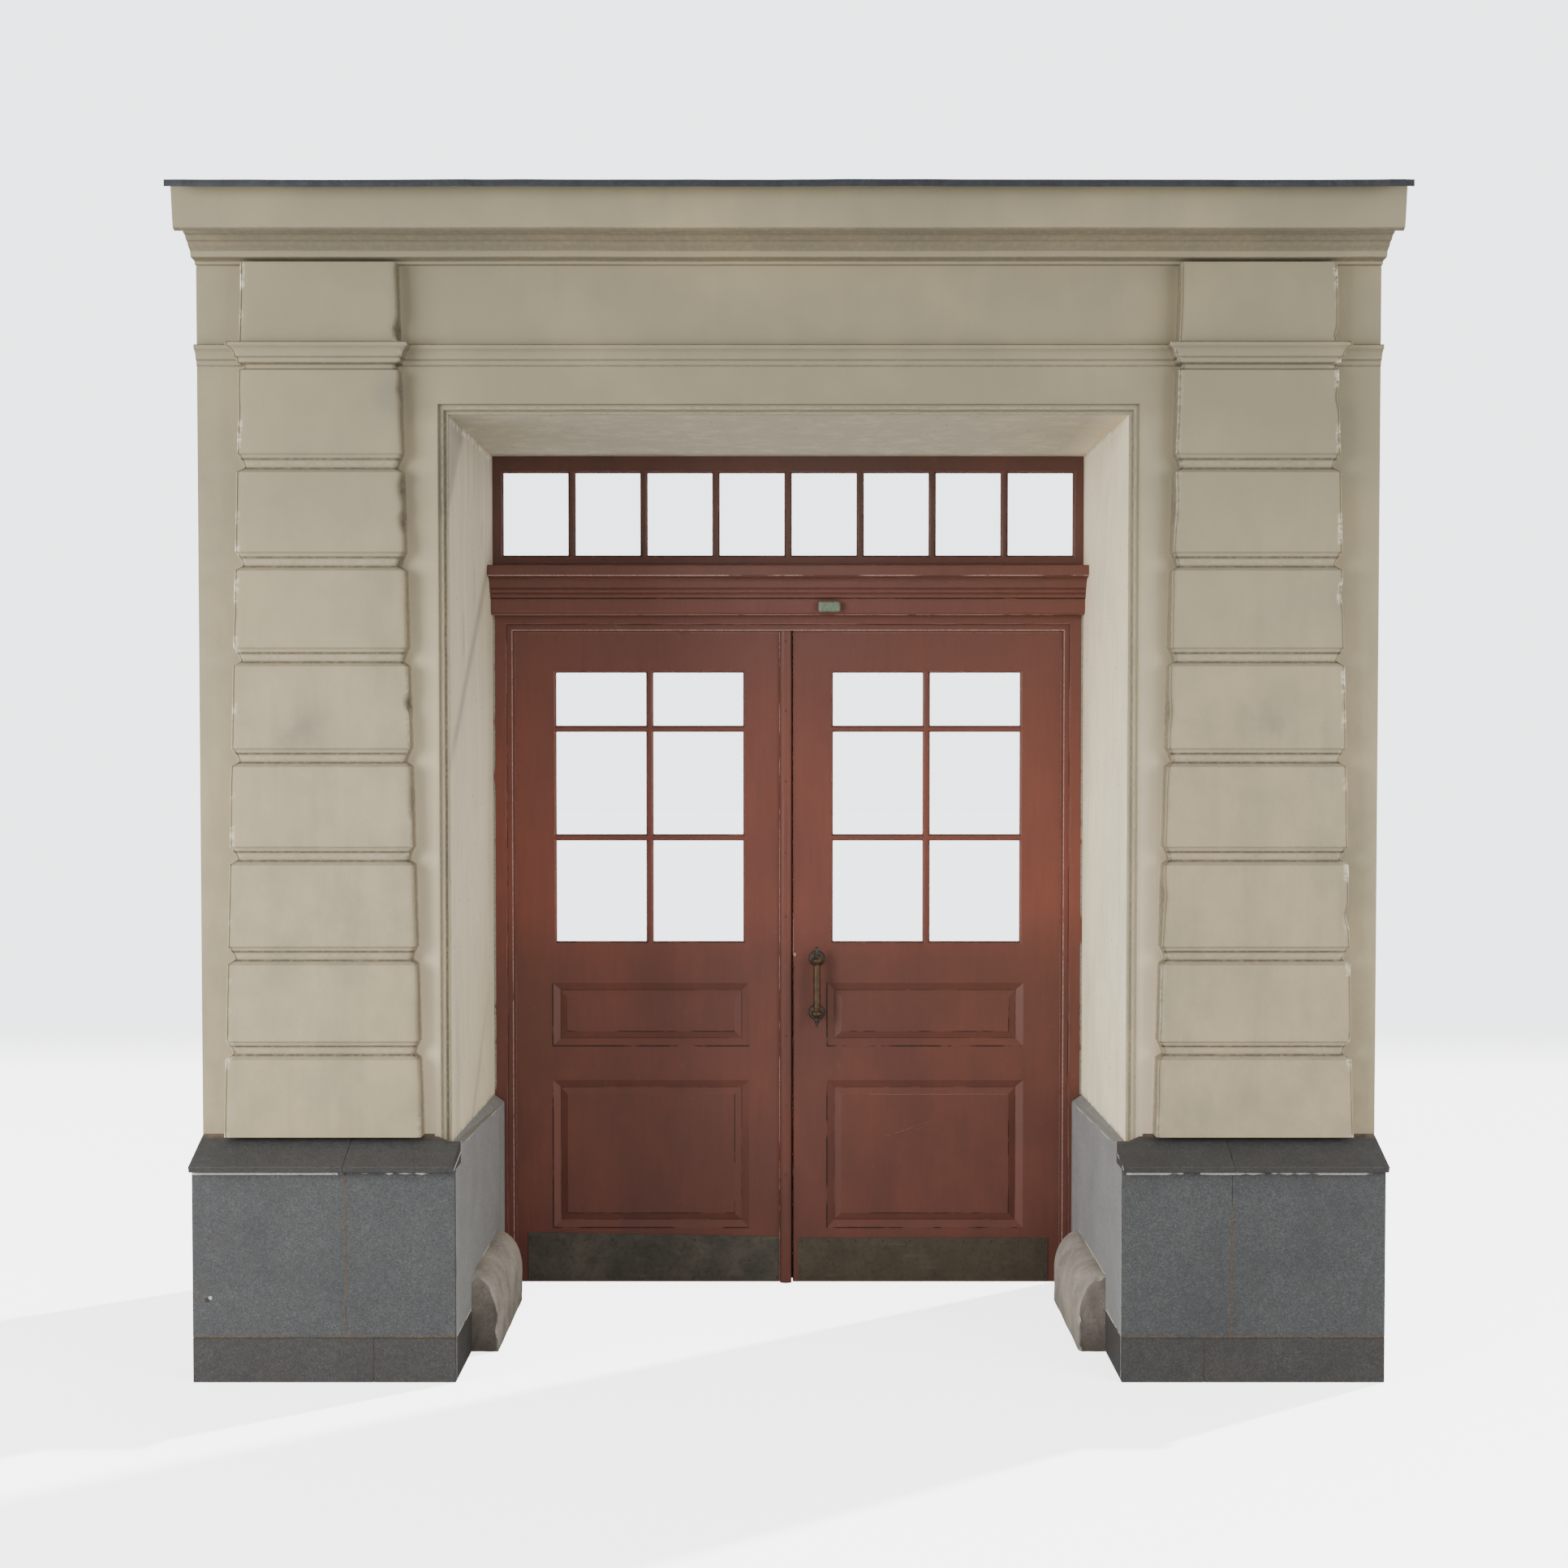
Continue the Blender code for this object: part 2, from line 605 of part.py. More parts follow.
def make_transom_bar():
    """Moulded bar: fascia and drip on top, hollow, reeds and a plain band below."""
    face = FRAME_FACE - GAP
    fascia_foot = BAR_TOP - BAR_FASCIA
    hollow_top = fascia_foot - BAR_LIP
    band_top = BAR_BOTTOM + BAR_BAND
    reeds_top = band_top + REED_PITCH * REED_COUNT
    points = [(0.0, BAR_TOP + 1.5 * BAR_LIP), (BAR_REACH - BAR_LIP, BAR_TOP), (BAR_REACH, BAR_TOP - BAR_LIP),
              (BAR_REACH, fascia_foot), (BAR_REACH - 3 * BAR_LIP, fascia_foot),
              (BAR_REACH - 3 * BAR_LIP, hollow_top)]
    reed_reach = BAR_BAND_REACH + REED_REACH
    hollow_start = BAR_REACH - BAR_HOLLOW_SET
    for i in range(HOLLOW_STEPS + 1):
        angle = math.pi / 2 * i / HOLLOW_STEPS
        reach = reed_reach + (hollow_start - reed_reach) * (1 - math.sin(angle))
        z = reeds_top + (hollow_top - reeds_top) * math.cos(angle)
        points.append((reach, z))
    for i in range(REED_COUNT):
        top = reeds_top - REED_PITCH * i
        reach = reed_reach - REED_STEP * i
        points += [(reach - 0.1 * REED_STEP, top - 0.2 * REED_PITCH),
                   (reach - 0.4 * REED_STEP, top - 0.7 * REED_PITCH),
                   (reach - 0.9 * REED_STEP - REED_DEPTH, top - 0.8 * REED_PITCH)]
    points += [(BAR_BAND_REACH, band_top - 0.5 * BAR_LIP), (BAR_BAND_REACH, BAR_BOTTOM + 0.27 * BAR_BAND),
               (BAR_BAND_REACH - 0.8 * BAR_LIP, BAR_BOTTOM + 0.12 * BAR_BAND),
               (BAR_BAND_REACH - 2.5 * BAR_LIP, BAR_BOTTOM), (0.0, BAR_BOTTOM)]
    outline = [(face - reach, z) for reach, z in points]
    half = OPENING_HALF - GAP
    return finish(run_along_x(outline, -half, half), "transom_bar", painted_timber)


def light_cutter(rect, face, back):
    """Opening for one pane: chamfered towards the front and rebated from the back."""
    bed = face + GLASS_SETBACK
    rebate = grown(rect, GLASS_LAP)
    mouth = grown(rect, CHAMFER * 2)
    return window([(*mouth, face - CHAMFER), (*rect, face + CHAMFER), (*rect, bed),
                   (*rebate, bed), (*rebate, back + CUT)])


def make_pane(name, rect, face):
    """Sheet of glass in its rebate, a small clearance inside it all round."""
    x0, x1, z0, z1 = grown(rect, GLASS_LAP - PANE_CLEAR)
    bed = face + GLASS_SETBACK + GAP
    return finish(block((x0, bed, z0), (x1, bed + GLASS, z1)), name, glass)


def fan_lights():
    width = (2 * FAN_HALF - (FAN_COUNT - 1) * FAN_MUNTIN) / FAN_COUNT
    for i in range(FAN_COUNT):
        x0 = -FAN_HALF + i * (width + FAN_MUNTIN)
        yield (x0, x0 + width, FAN_BOTTOM, FAN_TOP)


def make_fanlight():
    half = OPENING_HALF + FRAME_LAP / 2
    sash = finish(block((-half, FRAME_FACE, SASH_BOTTOM), (half, SASH_BACK, OPENING_TOP + FRAME_LAP / 2)),
                  "fanlight_sash", painted_timber)
    for i, rect in enumerate(fan_lights(), start=1):
        cut(sash, light_cutter(rect, FRAME_FACE, SASH_BACK), f"fanlight {i}")
        make_pane(f"fanlight_pane_{i}", rect, FRAME_FACE)


def leaf_lights(side):
    """The six lights of a leaf, from the top row down, each row from the hinge side."""
    width = (LIGHT_OUTER - LIGHT_INNER - LIGHT_MUNTIN) / 2
    columns = [(LIGHT_OUTER - width, LIGHT_OUTER), (LIGHT_INNER, LIGHT_INNER + width)]
    heights = [LIGHT_TOP]
    for bar_low, bar_high in LIGHT_BARS:
        heights += [bar_high, bar_low]
    heights.append(LIGHT_BOTTOM)
    for row in range(0, len(heights), 2):
        for near, far in columns:
            x0, x1 = sorted((side * near, side * far))
            yield (x0, x1, heights[row + 1], heights[row])


def make_leaf(side_name, side, hinge):
    """One leaf with its panes. It is parented to an empty on the hinge pin."""
    meeting = MEETING_X if side < 0 else MEETING_X + MEETING_GAP
    x0, x1 = sorted((side * LEAF_HALF, meeting))
    body = block((x0, LEAF_FACE, LEAF_FLOOR), (x1, LEAF_BACK, LEAF_TOP))
    leaf = finish(body, f"door_leaf_{side_name}", painted_timber)
    pieces = [leaf]
    for i, rect in enumerate(leaf_lights(side), start=1):
        cut(leaf, light_cutter(rect, LEAF_FACE, LEAF_BACK), f"light {side_name} {i}")
        pieces.append(make_pane(f"pane_{side_name}_{i}", rect, LEAF_FACE))
    px0, px1 = sorted((side * (LIGHT_OUTER + PANEL_OUTSET), side * (LIGHT_INNER - PANEL_INSET)))
    for i, (low, high) in enumerate(PANELS, start=1):
        rect = (px0, px1, low, high)
        valley = grown(rect, -PANEL_SLOPE)
        field = grown(valley, -FIELD_BEVEL)
        mouth = grown(rect, PANEL_SLOPE)
        stages = [(*mouth, LEAF_FACE - PANEL_SINK), (*valley, LEAF_FACE + PANEL_SINK),
                  (*field, LEAF_FACE + FIELD_SINK)]
        cut(leaf, window(stages), f"panel {side_name} {i}")
        stages = [(*rect, LEAF_BACK + CUT), (*rect, LEAF_BACK - BACK_PANEL_SINK)]
        cut(leaf, window(stages), f"back panel {side_name} {i}")
    parent_all(pieces, hinge)
    return leaf


def make_kick_plate(side_name, side, tops, setoff, hinge):
    """Metal sheet on the foot of a leaf, with its top given at the hinge and at the meeting side."""
    meeting = MEETING_X + MEETING_GAP if side > 0 else MEETING_X - ASTRAGAL_WIDTH
    hinge_x = side * (LEAF_HALF - KICK_INSET)
    meeting_x = meeting + side * setoff
    outline = [(hinge_x, KICK_FLOOR), (meeting_x, KICK_FLOOR), (meeting_x, tops[1]), (hinge_x, tops[0])]
    back = LEAF_FACE - GAP
    plate = finish(run_in_depth(outline, back - KICK_THICK, back), f"kick_plate_{side_name}", kick_metal)
    parent_all([plate], hinge)


def make_astragal(hinge):
    """Rounded cover strip whose free edge is flush with the edge of its leaf."""
    back = LEAF_FACE - GAP
    outline = [(MEETING_X, back), (MEETING_X - ASTRAGAL_WIDTH, back)]
    flat = 0.3 * ASTRAGAL_REACH
    for i in range(ASTRAGAL_STEPS + 1):
        angle = math.pi * i / ASTRAGAL_STEPS
        x = MEETING_X - ASTRAGAL_WIDTH / 2 - ASTRAGAL_WIDTH / 2 * math.cos(angle)
        outline.append((x, back - flat - (ASTRAGAL_REACH - flat) * math.sin(angle)))
    strip = finish(run_up(outline, LEAF_FLOOR, STOP_TOP - LEAF_CLEAR), "astragal", painted_timber)
    parent_all([strip], hinge)


def make_handle(hinge):
    """Upright grip with collars and finials, held by two posts on round rosettes."""
    handle_x = MEETING_X + HANDLE_SETOFF
    leaf_y = FACE_Y + LEAF_FACE - GAP
    shares = ((0.0, 1.0), (0.22, 0.98), (0.22, 0.90), (0.12, 0.84), (0.16, 0.62), (0.40, 0.50),
              (0.56, 0.40), (0.56, 0.34), (0.34, 0.28), (0.44, 0.22), (0.98, -0.02), (1.0, -0.08),
              (0.94, -0.14))
    upper = [(COLLAR_RADIUS * width, HANDLE_HIGH + FINIAL * height) for width, height in shares]
    upper.append((BAR_RADIUS, HANDLE_HIGH - FINIAL * 0.22))
    middle = (HANDLE_HIGH + HANDLE_LOW) / 2
    profile = upper + [(radius, 2 * middle - z) for radius, z in reversed(upper)]
    handle = turned("pull_handle", profile, bronze)
    handle.location = Vector((handle_x, leaf_y - HANDLE_STANDOFF, 0.0))
    for name, z in (("upper", HANDLE_HIGH), ("lower", HANDLE_LOW)):
        foot = [(0.0, HANDLE_STANDOFF), (POST_RADIUS, HANDLE_STANDOFF), (POST_RADIUS, ROSETTE_THICK * 1.45),
                (POST_RADIUS * 1.5, ROSETTE_THICK * 1.1), (ROSETTE_RADIUS * 0.8, ROSETTE_THICK),
                (ROSETTE_RADIUS, ROSETTE_THICK * 0.4), (ROSETTE_RADIUS, 0.0), (0.0, 0.0)]
        post = turned(f"{name} handle post", foot)
        post.location = Vector((handle_x, leaf_y, z))
        post.rotation_euler = (math.pi / 2, 0.0, 0.0)
        boolean(handle, post, "UNION")
    parent_all([handle], hinge)


def make_stud(hinge):
    body = bmesh.new()
    middle = place(MEETING_X + STUD_SETOFF, LEAF_FACE - GAP - STUD_REACH / 2, STUD_Z)
    matrix = Matrix.Translation(middle) @ Matrix.Rotation(math.pi / 2, 4, "X")
    bmesh.ops.create_cone(body, cap_ends=True, segments=ROUND_STEPS, radius1=STUD_RADIUS,
                          radius2=STUD_RADIUS * 0.8, depth=STUD_REACH, matrix=matrix)
    stud = finish(body, "lock_stud", brass)
    parent_all([stud], hinge)


def make_sensor():
    face = FRAME_FACE - GAP - BAR_BAND_REACH - GAP
    foot = BAR_BOTTOM + (BAR_BAND - SENSOR_HEIGHT) / 2
    low = (SENSOR_X - SENSOR_WIDTH / 2, face - SENSOR_REACH, foot)
    high = (SENSOR_X + SENSOR_WIDTH / 2, face, low[2] + SENSOR_HEIGHT)
    cover = finish(block(low, high), "sensor_cover", grey_plastic)
    bevel = soften(cover, SENSOR_ROUND)
    bevel.segments = 3
    bevel.limit_method = "NONE"


def make_hinge_half(name, side, z0, z1, flap_x, hinge=None):
    """Barrel round the pin with a flap let into the gap between leaf and frame."""
    body = bmesh.new()
    middle = place(side * PIN_X, PIN_DEPTH, (z0 + z1) / 2)
    bmesh.ops.create_cone(body, cap_ends=True, segments=ROUND_STEPS, radius1=PIN_RADIUS, radius2=PIN_RADIUS,
                          depth=z1 - z0, matrix=Matrix.Translation(middle))
    half = finish(body, name, hinge_steel)
    x0, x1 = sorted((side * flap_x, side * (flap_x + FLAP_THICK)))
    join(half, block((x0, PIN_DEPTH - HINGE_FLAP, z0 + FLAP_INSET), (x1, PIN_DEPTH, z1 - FLAP_INSET)), name)
    if hinge is not None:
        parent_all([half], hinge)


def make_hinges(side_name, side, hinge):
    for i, z in enumerate(HINGE_HEIGHTS, start=1):
        leaf_flap = LEAF_HALF + GAP
        frame_flap = LEAF_HALF + LEAF_CLEAR - GAP - FLAP_THICK
        make_hinge_half(f"hinge_{side_name}_{i}_leaf", side, z + GAP, z + HINGE_HALF, leaf_flap, hinge)
        make_hinge_half(f"hinge_{side_name}_{i}_frame", side, z - HINGE_HALF, z, frame_flap)


def hinge_empty(side_name, side):
    empty = bpy.data.objects.new(f"hinge axis {side_name}", None)
    surround.objects.link(empty)
    empty.location = place(side * PIN_X, PIN_DEPTH, 0.0)
    return empty


def parent_all(pieces, empty):
    """Hang pieces on a hinge axis without moving them."""
    for piece in pieces:
        piece.parent = empty
        piece.matrix_parent_inverse = Matrix.Translation(empty.location).inverted()


clear_scene()
surround = new_collection("door surround")
helpers = new_collection("cutters")
render_coat = new_material("lime render", (0.40, 0.35, 0.25), 0.9)
granite = new_material("grey granite", (0.13, 0.135, 0.14), 0.75)
worn_stone = new_material("worn brown stone", (0.17, 0.145, 0.12), 0.8)
sheet_metal = new_material("dark sheet metal", (0.06, 0.075, 0.08), 0.5, 0.6)
painted_timber = new_material("red-brown paint", (0.15, 0.045, 0.035), 0.55)
glass = new_material("clear glass", (0.9, 0.95, 0.95), 0.03)
kick_metal = new_material("dark kick plate", (0.05, 0.045, 0.035), 0.45, 0.7)
bronze = new_material("aged bronze", (0.11, 0.08, 0.05), 0.45, 0.8)
brass = new_material("brass", (0.45, 0.33, 0.12), 0.35, 1.0)
hinge_steel = new_material("painted hinge steel", (0.12, 0.04, 0.03), 0.5, 0.3)
grey_plastic = new_material("grey-green plastic", (0.16, 0.19, 0.15), 0.6)

make_wall()
make_cornice()
make_flashing()
make_frame()
make_transom_bar()
make_fanlight()
make_sensor()
for (side_name, side), kick_tops, kick_setoff in zip(SIDES, KICK_TOPS, KICK_SETOFFS):
    make_plinth(side_name, side)
    make_guard_stone(side_name, side)
    axis = hinge_empty(side_name, side)
    make_leaf(side_name, side, axis)
    make_kick_plate(side_name, side, kick_tops, kick_setoff, axis)
    make_hinges(side_name, side, axis)
    if side < 0:
        make_astragal(axis)
    else:
        make_handle(axis)
        make_stud(axis)
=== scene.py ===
# Door surround: detailed render, stone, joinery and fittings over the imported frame.
# Metres. Depths are measured from the wall face, positive into the wall, as in the CAD source.

import math

import bmesh
import bpy
import numpy as np
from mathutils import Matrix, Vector, noise


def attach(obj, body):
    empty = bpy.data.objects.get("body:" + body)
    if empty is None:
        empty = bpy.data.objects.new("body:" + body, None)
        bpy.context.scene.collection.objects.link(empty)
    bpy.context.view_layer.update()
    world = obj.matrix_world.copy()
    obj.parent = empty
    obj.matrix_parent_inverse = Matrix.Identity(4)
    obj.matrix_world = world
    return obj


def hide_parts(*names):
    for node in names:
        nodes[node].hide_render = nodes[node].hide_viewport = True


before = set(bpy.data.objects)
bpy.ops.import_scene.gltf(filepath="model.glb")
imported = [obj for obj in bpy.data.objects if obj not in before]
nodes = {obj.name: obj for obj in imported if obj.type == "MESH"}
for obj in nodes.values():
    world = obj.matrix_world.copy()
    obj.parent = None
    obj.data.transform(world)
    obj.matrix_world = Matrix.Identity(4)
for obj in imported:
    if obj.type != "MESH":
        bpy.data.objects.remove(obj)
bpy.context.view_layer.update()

# Sizes shared with the CAD source
HALF_WIDTH = 1.742
WALL_DEPTH = 1.000
FLASHING_REACH = 0.288
FACE_Y = (FLASHING_REACH - WALL_DEPTH) / 2
CORNICE_SOFFIT = 3.272
BED_MOULD_TOP = 3.36
OPENING_HALF = 1.007
OPENING_TOP = 2.841
MOULD_STEP = 0.014
MOULD_SINK = 0.011
PILASTER_X = 1.373
TOP_WIDTH = 0.453
FOOT_WIDTH = 0.582
TOP_REACH = 0.046
FOOT_REACH = 0.055
COURSE_TOPS = (0.9385, 1.218, 1.512, 1.801, 2.096, 2.376, 2.663)
BLOCK_TOP = 2.960
GROOVE_HEIGHT = 0.052
GROOVE_DEPTH = 0.018
STRING_TOP = 3.040
STRING_REACH = 0.032
STRING_HEIGHT = 0.062
NECK_DEPTH = 0.012
CAP_TOP = 0.7075
SEAT = 0.0006
PLINTH_BED = 0.040
PLINTH_CORNER = OPENING_HALF + 0.045
SLAB_DROP, SLAB_FALL = 0.0305, 0.0165
SLAB_EDGE_DROP, SLAB_EDGE_FALL = 0.0015, 0.0230
CAP_END_DEPTH, CAP_HIP_FALL = -0.010, 0.0195
FRAME_FACE = 0.870
LEAF_FACE = 0.8953
LEAF_BACK = 0.9473
LEAF_FLOOR = 0.004
LEAF_TOP = 2.2626
GAP = 0.0003
PLINTH_INNER = 0.973
PLINTH_REACH = 0.112
BASE_TOP = 0.132
DADO_TOP = 0.6236
DADO_JOINT = 1.294
BASE_JOINT = 1.214
CORNER_LIP = 0.014
SLAB_END = 0.862
GUARD_WIDTH = 0.083
GUARD_HEIGHT = 0.235
GUARD_UPRIGHT = 0.105
GUARD_START, GUARD_END = 0.165, 0.700
CASING_EDGE, CASING_TOP, CASING_FACE = 0.9627, 2.2710, 0.8825
STOP_EDGE, STOP_TOP = 0.9435, 2.2506
BAR_BOTTOM, BAR_FOOT, BAR_FRONT = 2.3010, 2.4270, 0.7477
BAR_BAND_FRONT, BAR_BAND_TOP, REED_PITCH = 0.8247, 2.3530, 0.016
FAN_HALF, FAN_BOTTOM, FAN_TOP = 0.9704, 2.5060, 2.7850
FAN_COUNT, FAN_MUNTIN = 8, 0.0255
CHAMFER = 0.0035
MEETING_X, MEETING_GAP = 0.012, 0.004
LIGHT_INNER, LIGHT_OUTER = 0.1543, 0.7955
LIGHT_MUNTIN = 0.025
LIGHT_BARS = ((1.9032, 1.9254), (1.5297, 1.5520))
LIGHT_TOP, LIGHT_BOTTOM = 2.1062, 1.1830
PANEL_OUTER, PANEL_INNER = 0.8100, 0.1340
PANELS = ((0.8223, 1.0402), (0.1924, 0.7043))
PANEL_SLOPE, FIELD_BEVEL = 0.026, 0.024
PANEL_SINK, FIELD_SINK = 0.012, 0.003
ASTRAGAL_WIDTH, ASTRAGAL_REACH = 0.040, 0.018
KICK_OUTER = 0.897
HANDLE_X = 0.0986
HANDLE_LOW, HANDLE_HIGH = 0.9390, 1.1247
HANDLE_STANDOFF = 0.048

# Steps of the meshes: rows of the wall on its flats and at its mouldings, and points of a broken line
FLAT_STEP, MOULDED_STEP = 0.017, 0.0022
LINE_STEP = 0.012

# The way out of the wall
STREET = (0, -1, 0)


def slab_bed(depth):
    """Height of the reveal slab's top where the wall stands on it."""
    return CAP_TOP - SLAB_DROP - SLAB_FALL * depth / FRAME_FACE


def slab_edge(depth):
    """Height of the reveal slab's top at its inner edge."""
    return slab_bed(depth) - SLAB_EDGE_DROP - SLAB_EDGE_FALL * depth / FRAME_FACE


def lin(red, green, blue):
    """An sRGB colour of 0 to 255 as linear RGBA."""
    out = []
    for part in (red, green, blue):
        c = part / 255
        out.append(c / 12.92 if c <= 0.04045 else ((c + 0.055) / 1.055) ** 2.4)
    return (*out, 1.0)


class Paint:
    """A material with short calls for its nodes. Coordinates are the piece's own."""

    def __init__(self, name):
        self.material = bpy.data.materials.new(name)
        self.material.use_nodes = True
        self.tree = self.material.node_tree
        self.shader = self.tree.nodes["Principled BSDF"]
        self.place = self.add("ShaderNodeTexCoord").outputs["Object"]

    def add(self, kind, **settings):
        node = self.tree.nodes.new(kind)
        for key, value in settings.items():
            setattr(node, key, value)
        return node

    def put(self, socket, value):
        if isinstance(value, bpy.types.NodeSocket):
            self.tree.links.new(value, socket)
        else:
            socket.default_value = value

    def fill(self, node, **values):
        """Put values on the inputs of these names."""
        for key, value in values.items():
            self.put(node.inputs[key.replace("_", " ")], value)

    def axis(self, letter):
        split = self.add("ShaderNodeSeparateXYZ")
        self.put(split.inputs[0], self.place)
        return split.outputs[letter]

    def noise(self, scale, detail=4.0, rough=0.55, stretch=(1, 1, 1), shift=(0, 0, 0), warp=0.0):
        mapping = self.add("ShaderNodeMapping")
        self.fill(mapping, Vector=self.place, Scale=stretch, Location=shift)
        node = self.add("ShaderNodeTexNoise")
        self.fill(node, Vector=mapping.outputs[0], Scale=scale, Detail=detail, Roughness=rough,
                  Distortion=warp)
        return node.outputs["Fac"]

    def cells(self, scale, output="Distance"):
        node = self.add("ShaderNodeTexVoronoi")
        self.fill(node, Vector=self.place, Scale=scale)
        return node.outputs[output]

    def span(self, value, low, high, to_low=0.0, to_high=1.0, smooth=False):
        """A value carried from one range to another and held at both ends."""
        node = self.add("ShaderNodeMapRange")
        node.interpolation_type = "SMOOTHSTEP" if smooth else "LINEAR"
        self.fill(node, Value=value, From_Min=low, From_Max=high, To_Min=to_low, To_Max=to_high)
        return node.outputs["Result"]

    def calc(self, operation, first, second):
        node = self.add("ShaderNodeMath", operation=operation)
        self.put(node.inputs[0], first)
        self.put(node.inputs[1], second)
        return node.outputs[0]

    def times(self, product, *values):
        for value in values:
            product = self.calc("MULTIPLY", product, value)
        return product

    def mix(self, share, first, second):
        """Two colours mixed. A colour is a socket or an sRGB triple."""
        node = self.add("ShaderNodeMix", data_type="RGBA")
        self.put(node.inputs[0], share)
        for socket, colour in ((node.inputs[6], first), (node.inputs[7], second)):
            self.put(socket, lin(*colour) if isinstance(colour, tuple) else colour)
        return node.outputs[2]

    def lay(self, colour, *layers):
        """Colours laid over one another: value, low, high, share at low, share at high, colour."""
        for value, low, high, at_low, at_high, shade in layers:
            colour = self.mix(self.span(value, low, high, at_low, at_high), colour, shade)
        return colour

    def marks(self):
        """Red, green and blue of the piece's painted marks: dirt and painted shade, pale wear and painted
        highlight, stain and painted shadow.
        """
        node = self.add("ShaderNodeAttribute", attribute_name="marks")
        split = self.add("ShaderNodeSeparateColor")
        self.put(split.inputs[0], node.outputs["Color"])
        return split.outputs[0], split.outputs[1], split.outputs[2]

    def bump(self, height, strength, distance, before=None):
        node = self.add("ShaderNodeBump")
        self.fill(node, Height=height, Strength=strength, Distance=distance)
        if before is not None:
            self.put(node.inputs["Normal"], before)
        return node.outputs[0]

    def finish(self, colour, roughness, normal, **plain):
        self.fill(self.shader, Base_Color=colour, Roughness=roughness, Normal=normal, **plain)
        return self.material


def painted_light_strip(p, across, depth, height):
    """Painted light on the wall face beside the opening, on the street side alone: a paler strip by the
    opening, wider on the left where the pilaster's shadow falls, and a paler patch beside the left pilaster
    higher up.
    """
    strip = p.times(p.span(p.calc("ABSOLUTE", across, 0.0), 1.020, 1.045),
                    p.span(across, 1.085, 1.135, 1.0, 0.0), p.span(across, -1.195, -1.14),
                    p.span(height, 1.0, 2.6, 0.75, 0.12), p.span(height, 2.80, 2.86, 1.0, 0.0))
    beside = p.times(p.span(across, -1.215, -1.195), p.span(across, -1.165, -1.10, 1.0, 0.0),
                     p.span(height, 2.2, 2.8, 0.05, 0.30))
    return p.times(p.calc("MAXIMUM", strip, beside), p.span(depth, FACE_Y - 0.014, FACE_Y - 0.006),
                   p.span(depth, FACE_Y + 0.010, FACE_Y + 0.020, 1.0, 0.0))


def render_paint():
    """Lime render: warm beige, mottled, greyer and darker upwards as painted shade under the cornice, paler
    beside the opening as painted light, dirt on ledges and painted shade in grooves and corners.
    """
    p = Paint("lime_render")
    broad = p.noise(1.7, 3.0, 0.6, shift=(3, 1, 7))
    cloud = p.noise(7.0, 5.0, 0.62, stretch=(1, 1, 0.8))
    streak = p.noise(5.0, 4.0, 0.6, stretch=(2.2, 2.2, 0.35))
    grain = p.noise(160.0, 3.0, 0.7)
    edge = p.noise(60.0, 4.0, 0.65)
    across, depth, height = (p.axis(letter) for letter in "XYZ")
    colour = p.lay((174, 160, 130),
                   # Greyer and darker upwards: painted shade of the cornice
                   (height, 0.8, 2.0, 0.0, 1.0, (168, 155, 127)),
                   (height, 1.95, 2.85, 0.0, 1.0, (137, 129, 106)),
                   (cloud, 0.40, 0.68, 0.0, 0.50, (138, 131, 110)),
                   (broad, 0.45, 0.72, 0.0, 0.45, (172, 157, 124)),
                   (streak, 0.50, 0.75, 0.0, 0.32, (130, 124, 106)),
                   (grain, 0.35, 0.70, 0.0, 0.10, (120, 112, 96)))
    # Painted light: the wall beside the opening made paler
    colour = p.mix(painted_light_strip(p, across, depth, height), colour, (228, 212, 182))
    # The marks carry dirt and painted shade, pale wear and painted highlight, stains and painted shadow
    dirt, pale, stain = p.marks()
    colour = p.mix(p.times(stain, p.span(cloud, 0.30, 0.60, 0.25, 1.0)), colour, (112, 109, 99))
    colour = p.mix(p.times(dirt, p.span(edge, 0.25, 0.55, 0.45, 1.0)), colour, (84, 77, 68))
    colour = p.mix(p.times(pale, p.span(edge, 0.42, 0.56)), colour, (236, 228, 208))
    normal = p.bump(grain, 0.25, 0.0006)
    normal = p.bump(cloud, 0.20, 0.004, normal)
    normal = p.bump(p.noise(28.0, 3.0, 0.6), 0.25, 0.0016, normal)
    return p.finish(colour, p.span(cloud, 0.3, 0.7, 0.86, 0.96), normal, Specular_IOR_Level=0.2)


